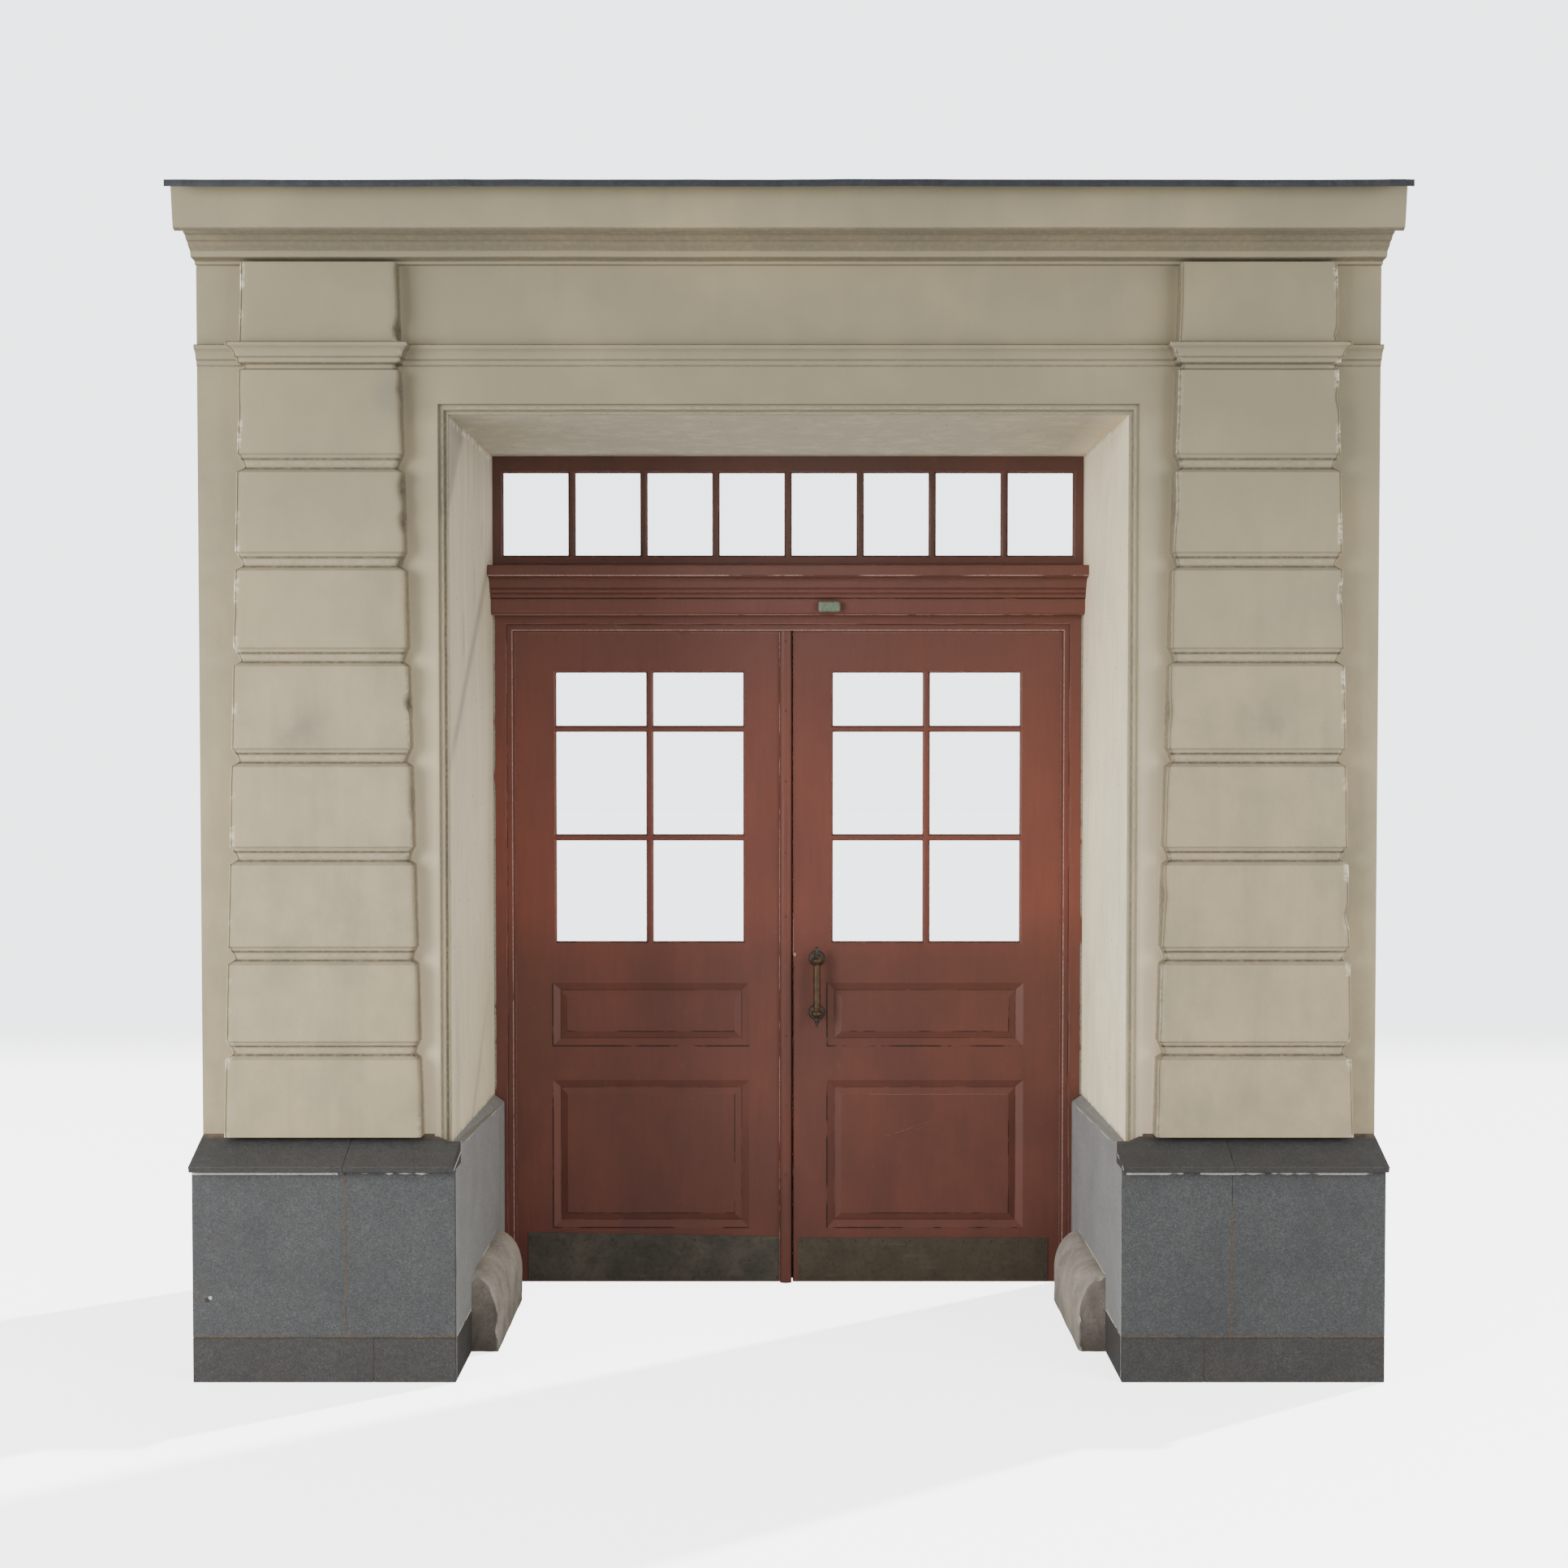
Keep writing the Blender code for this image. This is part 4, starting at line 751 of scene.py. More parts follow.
def reveal(skin):
    """Stepped architrave and the deep reveal round the opening, mitred at the top corners."""
    out, step, sink, r = 2 * MOULD_STEP, MOULD_STEP, MOULD_SINK, 0.0016
    profile = [(out, 0.0, 0.0, 0.0), (out - 0.2 * r, 0.3 * r, 0.15, 0.0), (out - r, r, 0.35, 0.0),
               (out - r, sink - r, 0.55, 0.0), (out - r - 0.001, sink, 0.50, 0.0),
               (step + 2 * r, sink + 0.0004, 0.0, 0.08), (step + 0.4 * r, sink + 0.001, 0.0, 0.1),
               (step - r, sink + r, 0.45, 0.0), (step - 0.004, sink + 0.006, 0.85, 0.0),
               (step - 0.0065, 2 * sink - 0.001, 0.80, 0.0), (0.006, 2 * sink, 0.30, 0.0),
               (r, 2 * sink + 0.0003, 0.0, 0.10), (0.0004, 2 * sink + 0.0006, 0.0, 0.12),
               (0.0, 2 * sink + r, 0.45, 0.0), (0.0, 2 * sink + 0.006, 0.30, 0.0)]
    split = len(profile) - 1
    for depth in np.linspace(2 * sink + 0.006, FRAME_FACE, 46)[1:]:
        profile.append((0.0, depth, 0.35 * bell(depth - FRAME_FACE, 0.012), 0.0))
    offsets, depths, dirt, pale = np.array(profile).T

    def patch(along_low, along_high, place, seed, dirt_scale):
        """Points and marks of one side, with the place along it and the depth of each point."""
        t = np.linspace(0, 1, 150)[:, None]
        along = along_low + (along_high - along_low) * t
        offset, depth = (np.repeat(row[None, :], len(t), axis=0) for row in (offsets, depths))
        ends = unit(t * (1 - t) * 60)
        fade = ends * unit((FRAME_FACE - depth) / 0.03) * unit((depth - 2 * MOULD_SINK) / 0.03)
        push = ripple(along, depth, 3.1, seed) * 0.0022 + ripple(along, depth, 16.0, seed + 2) * 0.0008
        line = ripple(along, depth * 0, 14.0, seed + 4) * 0.0008 * ends * (depth < 0.04) * (depth > 0.002)
        points = place(along, offset + push * fade + line, depth)
        marks = np.zeros(points.shape)
        marks[..., 0] = dirt * dirt_scale
        marks[..., 1] = pale
        return points, marks, along, depth

    def add(points, marks, flip=False):
        skin.grid(points[:, :split + 1], marks[:, :split + 1], flip=flip)
        skin.grid(points[:, split:], marks[:, split:], 1, flip=flip)

    low = slab_bed(np.maximum(depths, 0.0)) + SEAT
    for side in (-1, 1):
        def jamb(along, offset, depth):
            return np.stack((side * (OPENING_HALF + offset), FACE_Y + depth, along), axis=2)
        strength = 1.0 if side < 0 else 0.8
        points, marks, along, depth = patch(low, OPENING_TOP + offsets, jamb, 20 + side, strength)
        if side < 0:
            # Painted shadows on the left jamb: a dark wedge under the top front corner, a long diagonal
            # stripe and a lower diagonal stripe; then a grey strip low near the front and three short upright
            # grey streaks
            marks[..., 2] += 0.52 / (1 + np.exp((depth - 0.304 + 0.99 * (2.837 - along)) / 0.010))
            shadow_stripe = bell(depth - 0.779 + 1.12 * (2.47 - along), 0.046)
            shadow_stripe = shadow_stripe * unit((along - 1.76) / 0.14) * unit((2.50 - along) / 0.06)
            marks[..., 2] += 0.50 * shadow_stripe
            low_shadow_stripe = bell(depth - 0.40 - 0.905 * (along - 0.663), 0.030)
            marks[..., 2] += 0.30 * low_shadow_stripe * unit((1.05 - along) / 0.2)
            marks[..., 2] += 0.24 * bell(depth - 0.13, 0.035) * unit((1.30 - along) / 0.4)
            for at, foot, head in ((0.494, 2.305, 2.446), (0.277, 2.122, 2.291), (0.642, 2.497, 2.604)):
                near = unit((along - foot) / 0.03) * unit((head - along) / 0.03)
                marks[..., 2] += 0.32 * near * bell(depth - at, 0.016)
        top_edge = bell(OPENING_TOP - along, 0.010) * (depth > 0.03)
        broken = unit(ripple(along * 0 + depth, depth, 30.0, 31.0 + side) * 3)
        marks[..., 0] += 0.75 * top_edge * broken
        marks[..., 1] += 0.9 * bell(OPENING_TOP - 0.012 - along, 0.007) * (depth > 0.03) * (1 - broken)
        at_foot = bell(along - low, 0.007) * (depth > 0.02)
        marks[..., 0] += 0.6 * at_foot * unit(ripple(depth, along * 0, 60.0, 47.0 + side) * 3 + 0.4)
        add(points, marks, side > 0)

    def soffit(along, offset, depth):
        return np.stack((along, FACE_Y + depth, OPENING_TOP + offset), axis=2)
    half = OPENING_HALF + offsets
    points, marks, along, depth = patch(-half, half, soffit, 27.0, 0.55)
    # A faint dark line along the middle of the soffit, the whole soffit a little darker as painted shade, and
    # pale flecks as painted highlights of small pits
    marks[..., 0] += 0.10 * bell(depth - 0.43, 0.009) + 0.05
    marks[..., 1] += 0.5 * unit(ripple(along, depth, 38.0, 33.0) * 4 - 2.2) * (depth > 0.03)
    add(points, marks)


def rest_of_wall(skin):
    """Flat ends, back, top, beds and rebates, as the CAD solid has them."""
    mesh = nodes["wall"].data
    face_limit = FACE_Y + 2 * MOULD_SINK + 0.0005
    for polygon in mesh.polygons:
        middle = polygon.center
        normal = polygon.normal
        at_end = abs(normal.x) > 0.9 and abs(middle.x) > HALF_WIDTH - 0.001
        above = middle.z > slab_bed(FRAME_FACE) - 0.002
        on_front = above and middle.z < CORNICE_SOFFIT + 0.0005 and middle.y < face_limit
        in_reveal = middle.y < FACE_Y + FRAME_FACE - 0.002 and above
        jamb_face = abs(abs(middle.x) - OPENING_HALF) < 0.001 and abs(normal.x) > 0.9
        soffit_face = abs(middle.z - OPENING_TOP) < 0.001 and normal.z < -0.9
        if not at_end and (on_front or (in_reveal and (jamb_face or soffit_face))):
            continue
        skin.fan([tuple(mesh.vertices[i].co) for i in polygon.vertices])


def make_wall():
    """The masonry: both ends with their pilasters, the lintel, the reveal and the flat rest."""
    skin = Skin()
    rows = front_rows()
    for side in (-1, 1):
        pilaster_side(skin, side, rows)
    lintel_front(skin, rows)
    reveal(skin)
    rest_of_wall(skin)
    skin.build("wall_render", [render_coat, reveal_coat], stands_for=["wall"], sharp=50)


def run_across(skin, outline, count, waver, seed, marks=None):
    """A (depth, z) outline run along X from end to end, a little uneven, closed at both cut ends."""
    outline = np.concatenate((outline, outline[:1]))
    xs = np.linspace(-HALF_WIDTH, HALF_WIDTH, count)
    x = np.repeat(xs[:, None], len(outline), axis=1)
    depth, z = (np.repeat(outline[None, :, i], count, axis=0) for i in (0, 1))
    moves = [[grit(v * wide, seed, row) + 0.3 * grit(v * narrow, seed, row + 1) for v in xs]
             for wide, narrow, row in ((1.9, 9, 1.0), (2.3, 11, 5.0))]
    lift, push = np.array(moves) * waver * unit((HALF_WIDTH - abs(xs)) / 0.04)
    outside = depth < 0.02
    z = z + lift[:, None] * outside
    depth = depth + push[:, None] * outside
    points = np.stack((x, FACE_Y + depth, z), axis=2)
    if marks is not None:
        marks = np.repeat(np.concatenate((marks, marks[:1]))[None, :, :], count, axis=0)
    skin.grid(points, marks)
    skin.fan(points[0, :-1])
    skin.fan(points[-1, :-1], flip=True)


def refine(outline, step, radius):
    """An outline with its corners cut by a small radius and its long sides divided."""
    outline = [np.array(p, float) for p in outline]
    count = len(outline)
    rounded = []
    for i, point in enumerate(outline):
        before, after = outline[i - 1], outline[(i + 1) % count]
        to_before, to_after = before - point, after - point
        la, lb = np.linalg.norm(to_before), np.linalg.norm(to_after)
        cut = min(radius, 0.3 * la, 0.3 * lb)
        a, b = point + to_before / la * cut, point + to_after / lb * cut
        middle = (a + b) / 4 + point / 2
        rounded += [a, middle, b]
    out = []
    for i, point in enumerate(rounded):
        after = rounded[(i + 1) % len(rounded)]
        length = np.linalg.norm(after - point)
        pieces = max(1, int(length / step))
        for k in range(pieces):
            out.append(point + (after - point) * k / pieces)
    return np.array(out)


def cad_outline(name, x):
    """Corners of a prism's end face at X, in order, as (depth, z)."""
    mesh = nodes[name].data
    tool = bmesh.new()
    tool.from_mesh(mesh)
    bmesh.ops.remove_doubles(tool, verts=tool.verts, dist=0.00002)
    ends = [f for f in tool.faces if all(abs(v.co.x - x) < 0.0002 for v in f.verts)]
    merged = bmesh.ops.dissolve_faces(tool, faces=ends)["region"]
    loop = [(v.co.y - FACE_Y, v.co.z) for v in merged[0].verts]
    tool.free()
    return loop


def make_cornice():
    """The moulded course, darker on the level faces of its bed mould."""
    outline = refine(cad_outline("cornice", HALF_WIDTH), 0.012, 0.0022)
    marks = np.zeros((len(outline), 3))
    for i, (depth, z) in enumerate(outline):
        slope = outline[(i + 1) % len(outline)] - outline[i - 1]
        steep = abs(slope[0]) / (np.linalg.norm(slope) + 1e-9)
        if depth < 0.0 and z < BED_MOULD_TOP and steep > 0.6:
            marks[i, 0] = 0.42
    skin = Skin()
    run_across(skin, outline, 170, 0.0013, 41.0, marks)
    skin.build("cornice_render", [render_coat], stands_for=["cornice"], sharp=50)


def make_flashing():
    """Folded sheet on the cornice, slightly wavy along its length."""
    outline = refine(cad_outline("cornice_flashing", HALF_WIDTH), 0.05, 0.0006)
    skin = Skin()
    run_across(skin, outline, 120, 0.0022, 52.0)
    skin.build("flashing_sheet", [sheet_metal], stands_for=["cornice_flashing"], sharp=35)


def dress(name, material, bevel=0.0):
    """Give a CAD node its material and, where wanted, softened arrises."""
    obj = nodes[name]
    obj.data.materials.clear()
    obj.data.materials.append(material)
    if bevel:
        weld = obj.modifiers.new("weld", "WELD")
        weld.merge_threshold = 0.00002
        ease = obj.modifiers.new("ease", "BEVEL")
        ease.width = bevel
        ease.segments = 2
        ease.limit_method = "ANGLE"
        ease.angle_limit = math.radians(35)


def rod(skin, low, high, slot=0):
    """A small box between two opposite corners."""
    x0, y0, z0 = low
    x1, y1, z1 = high
    ring = [(x0, y0), (x1, y0), (x1, y1), (x0, y1)]
    points = np.array([[(x, y, z) for x, y in ring] for z in (z0, z1)])
    skin.grid(points, None, slot, wrap=True)
    skin.fan(points[0], slot, flip=True)
    skin.fan(points[1], slot)


def broken_line(skin, start, end, out, width, cover, seed, slot=0, lift=0.0004):
    """A thin broken line of wear, mortar, dirt, painted shade or painted highlight along an edge, standing a
    little proud.
    """
    start, end, out = (np.array(v, float) for v in (start, end, out))
    out = out / np.linalg.norm(out)
    run = end - start
    length = np.linalg.norm(run)
    across = np.cross(run / length, out)
    share = np.linspace(0, 1, max(3, int(length / LINE_STEP)) + 1)
    strength = np.array([grit(v * 8.0, seed, 0.3) + 0.5 * grit(v * 41.0, seed, 4.1) for v in share * length])
    half = width / 2 * unit((strength + cover) / 0.25)
    middle = start + run * share[:, None] + out * lift * 0.3
    crest = middle + out * (lift * (half > 0))[:, None]
    points = np.stack((middle - across * half[:, None], crest, middle + across * half[:, None]), axis=1)
    gone = (half[:-1] + half[1:]) == 0
    skin.grid(points, None, slot, skip=np.repeat(gone[:, None], 2, axis=1))


def level_run(skin, low, high, depth, z, *look):
    """A broken line along X at one depth and height."""
    broken_line(skin, (low, FACE_Y + depth, z), (high, FACE_Y + depth, z), *look)


def upright_run(skin, x, depth, low, high, *look):
    """A broken line upwards at one place and depth."""
    broken_line(skin, (x, FACE_Y + depth, low), (x, FACE_Y + depth, high), *look)


def frame_line(skin, rect, depth, out, width, cover, seed, slot=0, sides="tlrb"):
    """Lines round a rectangle x0, x1, z0, z1 on a surface at one depth."""
    x0, x1, z0, z1 = rect
    for i, key in enumerate(sides):
        look = (out, width, cover, seed + i * 1.7, slot)
        if key in "tb":
            level_run(skin, x0, x1, depth, z1 if key == "t" else z0, *look)
        else:
            upright_run(skin, x0 if key == "l" else x1, depth, z0, z1, *look)


def turned(skin, profile, centre, slot=0, segments=28, lying=False):
    """A turned form from (radius, height) pairs, upright or, lying, with its axis towards the street."""
    angles = np.linspace(0, 2 * math.pi, segments, endpoint=False)
    rows = []
    for radius, height in profile:
        a, b, level = radius * np.cos(angles), radius * np.sin(angles), np.full(segments, height)
        rows.append(np.stack((a, -level, b) if lying else (a, b, level), axis=1))
    skin.grid(np.array(rows) + np.array(centre), None, slot, wrap=True)


def screw(skin, x, depth, z, radius=0.0042):
    """A domed screw head with its slot pressed in."""
    shares = ((1.0, 0.0), (1.0, 0.35), (0.86, 0.75), (0.55, 1.0), (0.22, 1.0), (0.10, 0.62), (0.0, 0.62))
    profile = [(radius * r, 0.0011 * h) for r, h in shares]
    turned(skin, profile, (x, FACE_Y + depth, z), 2, 10, lying=True)


def make_handle():
    """Cast pull handle: grip with beads, collars, spires with cross tips, posts and dished rosettes."""
    skin = Skin()
    front = FACE_Y + LEAF_FACE - GAP
    axis_y = front - HANDLE_STANDOFF
    grip = [(0.0095, HANDLE_LOW + 0.010), (0.0112, HANDLE_LOW + 0.013), (0.0098, HANDLE_LOW + 0.017)]
    for i in range(13):
        share = i / 12
        swell = 0.0116 + 0.0006 * math.sin(math.pi * share)
        grip.append((swell, HANDLE_LOW + 0.019 + share * (HANDLE_HIGH - HANDLE_LOW - 0.038)))
    grip += [(0.0098, HANDLE_HIGH - 0.017), (0.0112, HANDLE_HIGH - 0.013), (0.0095, HANDLE_HIGH - 0.010)]
    turned(skin, grip, (HANDLE_X, axis_y, 0.0), 0)
    collar = [(0.0110, -0.012), (0.0165, -0.0095), (0.0194, -0.0050), (0.0198, -0.0010), (0.0180, 0.0030),
              (0.0130, 0.0070), (0.0098, 0.0100)]
    spire = [(0.0098, 0.0100), (0.0078, 0.0130), (0.0074, 0.0150), (0.0102, 0.0170), (0.0106, 0.0200),
             (0.0086, 0.0225), (0.0066, 0.0280), (0.0048, 0.0340), (0.0034, 0.0390), (0.0046, 0.0405),
             (0.0046, 0.0425), (0.0030, 0.0440), (0.0022, 0.0460), (0.0, 0.0468)]
    for level, way in ((HANDLE_HIGH, 1), (HANDLE_LOW, -1)):
        for profile, slot in ((collar, 0), (spire, 1)):
            rows = [(r, level + way * z) for r, z in profile]
            turned(skin, rows if way > 0 else rows[::-1], (HANDLE_X, axis_y, 0.0), slot)
        arm = level + way * 0.0435
        rod(skin, (HANDLE_X - 0.0060, axis_y - 0.0014, arm - 0.0015),
            (HANDLE_X + 0.0060, axis_y + 0.0014, arm + 0.0015), 1)
        post = [(0.0, HANDLE_STANDOFF), (0.0085, HANDLE_STANDOFF - 0.002), (0.0085, 0.022), (0.0105, 0.019),
                (0.0088, 0.016), (0.0120, 0.0115), (0.0170, 0.0085), (0.0205, 0.0092), (0.0235, 0.0078),
                (0.0262, 0.0050), (0.0275, 0.0030), (0.0275, 0.0)]
        turned(skin, post[::-1], (HANDLE_X, front, level), 1, 32, lying=True)
        for k in range(8):
            angle = math.pi / 4 * (k + 0.5)
            place = (HANDLE_X + 0.0222 * math.cos(angle), front, level + 0.0222 * math.sin(angle))
            turned(skin, [(0.0026, 0.0065), (0.0022, 0.0095), (0.0, 0.0102)], place, 1, 8, lying=True)
    skin.build("cast_handle", [bronze, dark_bronze], "leaf_right", ["pull_handle"], sharp=38)


def make_bolt():
    """Small oval brass boss beside the meeting edge."""
    low, high = (Vector(f(c[i] for c in (v.co for v in nodes["lock_stud"].data.vertices)) for i in range(3))
                 for f in (min, max))
    centre = (low + high) / 2
    skin = Skin()
    angles = np.linspace(0, 2 * math.pi, 24, endpoint=False)
    rows = []
    dome = ((1.0, 0.0), (1.0, 0.0014), (0.88, 0.0030), (0.60, 0.0042), (0.30, 0.0046), (0.0, 0.0047))
    for share, rise in dome:
        ring = (centre.x + 0.0052 * share * np.cos(angles), high.y - rise + 0 * angles,
                centre.z + 0.0092 * share * np.sin(angles))
        rows.append(np.stack(ring, axis=1))
    skin.grid(np.array(rows), None, 0, wrap=True)
    skin.build("brass_boss", [brass], "leaf_right", ["lock_stud"], sharp=40)


def make_guard_stone(side):
    """Worn kerb stone: rounded top, chipped front arris, rough faces."""
    wall_x = PLINTH_INNER - GAP
    rise = GUARD_HEIGHT - GUARD_UPRIGHT
    outline = [(wall_x - GUARD_WIDTH, z) for z in np.linspace(0.0, GUARD_UPRIGHT, 12)[:-1]]
    for angle in np.linspace(0, math.pi / 2, 22):
        outline.append((wall_x - GUARD_WIDTH * math.cos(angle), GUARD_UPRIGHT + rise * math.sin(angle)))
    outline = np.array(outline)
    heart = np.array([wall_x, 0.045])
    depths = [0.0, 0.0008, 0.002, 0.004, 0.007, 0.011, 0.017, 0.026]
    depths += list(np.linspace(0.038, GUARD_END - GUARD_START - 0.004, 40)) + [GUARD_END - GUARD_START]
    rows, marks = [], []
    for depth in depths:
        row, mark = [], []
        for x, z in outline:
            place = Vector((x * 24, depth * 9, z * 24 + side * 7))
            rough = noise.noise(place) * 0.0016 + noise.noise(place * 3.1) * 0.0007
            bite = max(0.0, grit(x * 31, z * 31, side * 3.0 + 1.5) - 0.02)
            ease = 0.004 + 0.018 * bite
            near = max(0.0, 1 - depth / (2.2 * ease)) ** 2
            pull = ease * near + max(0.0, 0.0016 + rough) * min(1.0, depth * 60)
            spot = np.array([x, z])
            inward = (heart - spot) * np.array([1.0, 1.0 if z > GUARD_UPRIGHT else 0.0])
            inward = inward / (np.linalg.norm(inward) + 1e-9)
            moved = spot + inward * pull
            moved[0] = min(moved[0], wall_x)
            moved[1] = max(moved[1], 0.0)
            row.append((side * moved[0], FACE_Y + GUARD_START + depth, moved[1]))
            worn = near * min(1.0, bite * 7)
            foot = max(0.0, 1 - z / 0.09)
            mark.append((0.30 * foot + 0.25 * near, 0.75 * worn, 0.2 * near))
        rows.append(row)
        marks.append(mark)
    rows, marks = np.array(rows), np.array(marks)
    skin = Skin()
    skin.grid(rows, marks, 0, flip=side < 0)
    front = [rows[0]]
    front_marks = [marks[0] * 0 + np.array([0.35, 0.2, 0.1])]
    centre = np.array([side * wall_x, FACE_Y + GUARD_START, 0.0])
    for share in (0.93, 0.80, 0.62, 0.42, 0.22, 0.0):
        ring = centre + (rows[0] - centre) * share
        lift = [max(-0.0002, 0.0012 + 0.003 * grit(p[0] * 30, side, p[2] * 30)) for p in ring]
        ring[:, 1] += np.array(lift) * (1 if share else 0)
        front.append(ring)
        dark = unit(1 - ring[:, 2] / 0.16)
        front_marks.append(np.stack((0.30 + 0.45 * dark, 0 * dark, 0.15 + 0 * dark), axis=1))
    skin.grid(np.array(front[::-1]), np.array(front_marks[::-1]), 0, flip=side < 0)
    back = rows[-1]
    far = np.array([side * wall_x, FACE_Y + GUARD_END, 0.0])
    skin.grid(np.array([back, np.repeat(far[None, :], len(back), axis=0)]), flip=side < 0)
    name = "left" if side < 0 else "right"
    skin.build(f"kerb_stone_{name}", [guard_stone], "surround", [f"guard_stone_{name}"],
               sharp=60)


def make_stone_joints():
    """Mortar under the cap, rusty joints of the plinth, the pale joints of its corner and reveal, and painted
    highlights along the cap's end edges.
    """
    skin = Skin()
    front, inner, kerb = -PLINTH_REACH, PLINTH_INNER, PLINTH_INNER - 0.001
    corner = front + CORNER_LIP
    hip = (inner, CAP_END_DEPTH, slab_edge(0.0) - 0.018)
    low, high = inner + 0.002, HALF_WIDTH - 0.002
    bed, crest, slab = DADO_TOP - 0.0085, GUARD_HEIGHT + 0.002, SLAB_END - 0.07
    inward = (-1, 0, 0)
    # start, end, way out, width, cover, seed, material, lift; X is the distance from the middle
    lines = [((DADO_JOINT, front, BASE_TOP + 0.002), (DADO_JOINT, front, DADO_TOP - 0.014),
              STREET, 0.0060, 0.50, 0, 1),
             ((BASE_JOINT, front, 0.002), (BASE_JOINT, front, BASE_TOP - 0.002), STREET, 0.0036, 0.5, 1, 2),
             ((low, front, BASE_TOP + 0.003), (high, front, BASE_TOP + 0.003), STREET, 0.0070, 0.45, 3, 1),
             ((low, front, BASE_TOP - 0.001), (high, front, BASE_TOP - 0.001),
              STREET, 0.0036, 0.50, 2, 2, 0.0007),
             ((inner, corner + 0.004, BASE_TOP), (inner, GUARD_START - 0.004, BASE_TOP),
              inward, 0.0050, 0.40, 4),
             ((inner, corner, 0.004), (inner, corner, DADO_TOP - 0.01), inward, 0.0050, 0.35, 5),
             ((inner, corner - 0.006, 0.004), (inner, corner - 0.006, DADO_TOP - 0.01),
              inward, 0.0040, 0.30, 6, 2),
             # Pale lines on the cap's end edges: painted highlights
             (hip, (inner, CAP_END_DEPTH, CAP_TOP - CAP_HIP_FALL), inward, 0.0045, 0.6, 9),
             (hip, (inner, CAP_END_DEPTH - 0.128, DADO_TOP + 0.005), inward, 0.0060, 0.35, 10),
             ((kerb, GUARD_START + 0.01, crest), (kerb, GUARD_END - 0.01, crest), inward, 0.006, 0.18, 7),
             ((inner, 0.03, slab_edge(0.03) - 0.003), (inner, slab, slab_edge(slab) - 0.003),
              inward, 0.0036, 0.10, 8)]
    mortar_spans = {-1: ((1.315, 1.740, 0.75), (0.985, 1.310, 0.05)),
                    1: ((1.20, 1.740, 0.25), (0.985, 1.19, 0.45))}
    for side, spans in mortar_spans.items():
        beds = [((near, front, bed), (far, front, bed), STREET, 0.0085, cover, near, 0, 0.0015)
                for near, far, cover in spans]
        for start, end, out, width, cover, seed, *more in beds + lines:
            start, end = ((side * x, FACE_Y + depth, z) for x, depth, z in (start, end))
            out = (side * out[0], out[1], 0)
            broken_line(skin, start, end, out, width, cover, 60.0 + side * 5 + seed, *more)
    hole = (-1.699, FACE_Y + front, 0.243)
    beside = (hole[0] + 0.009, hole[1], hole[2] + 0.006)
    turned(skin, [(0.0075, 0.0), (0.0068, 0.0006), (0.0, 0.0007)], hole, 2, 12, lying=True)
    turned(skin, [(0.0060, 0.0), (0.0045, 0.0008), (0.0, 0.0009)], beside, 0, 9, lying=True)
    skin.build("plinth_joints", [mortar, rust_joint, joint_dirt], smooth=False)


def make_frame_wear_and_shade():
    """Pale arrises of the frame, the bar and the fanlight, worn and lit as painted highlight, dark lines in
    their quirks as dirt and painted shade, and under the fanlight panes as painted shadow.
    """
    skin = Skin()
    half = OPENING_HALF - 0.0012
    low_depth = BAR_BAND_FRONT + 0.0098
    # Pale lines on the bar's arrises: wear and painted highlight
    level_run(skin, -half, -0.20, BAR_FRONT, BAR_FOOT, (0, -1, -0.6), 0.0036, 0.60, 1.0)
    level_run(skin, -0.20, half, BAR_FRONT, BAR_FOOT, (0, -1, -0.6), 0.0032, 0.10, 2.0)
    level_run(skin, -half, half, low_depth, BAR_BOTTOM + 0.0010, (0, -1, -0.4), 0.0040, 0.55, 3.0)
    # Dark lines in the reed quirks and along the bar: dirt and painted shade
    for i in range(3):
        depth = BAR_BAND_FRONT - 0.027 + 0.007 * (2 - i) + 0.011
        level_run(skin, -half, half, depth, BAR_BAND_TOP + REED_PITCH * (i + 0.18), (0, -1, 0.5),
                  0.0062, 0.60, 4.0 + i, 1)
    level_run(skin, -half, half, FRAME_FACE, BAR_FOOT + 0.0372, STREET, 0.0050, 0.5, 9.0, 1)
    # Lines round the casing and the stop: pale and faint ones as wear and painted highlight, dark ones as
    # painted shade
    casing = (-CASING_EDGE, CASING_EDGE, 0.01, CASING_TOP)
    stop = (-STOP_EDGE, STOP_EDGE, 0.01, STOP_TOP)
    frame_line(skin, shrink(casing, -0.0012), FRAME_FACE, STREET, 0.0026, 0.10, 10.0, 2, "tlr")
    frame_line(skin, casing, CASING_FACE, STREET, 0.0036, 0.30, 14.0, 1, "tlr")
    frame_line(skin, shrink(stop, -0.0008), CASING_FACE, STREET, 0.0030, 0.80, 18.0, 0, "tlr")
    frame_line(skin, shrink(stop, 0.0075), LEAF_FACE, STREET, 0.0026, 0.55, 19.5, 2, "tlr")
    for side in (-1, 1):
        upright_run(skin, side * (OPENING_HALF - 0.003), FRAME_FACE, 0.66, BAR_BOTTOM, STREET, 0.0060, 0.50,
                    88.0 + side, 3)
    width = (2 * FAN_HALF - (FAN_COUNT - 1) * FAN_MUNTIN) / FAN_COUNT
    # Dark lines at the foot and sides of each fanlight pane: painted shadow
    for i in range(FAN_COUNT):
        x0 = -FAN_HALF + i * (width + FAN_MUNTIN)
        rect = shrink((x0, x0 + width, FAN_BOTTOM, FAN_TOP), -CHAMFER)
        frame_line(skin, rect, FRAME_FACE + CHAMFER, STREET, 0.0046, 0.45, 22.0 + i, 1, "b")
        frame_line(skin, rect, FRAME_FACE + CHAMFER, STREET, 0.0030, 0.15, 32.0 + i, 1, "lr")
    skin.build("frame_wear_and_shade", [worn_and_lit_edge, grime_and_shade, faint_wear_and_highlight, mastic], "surround", smooth=False)


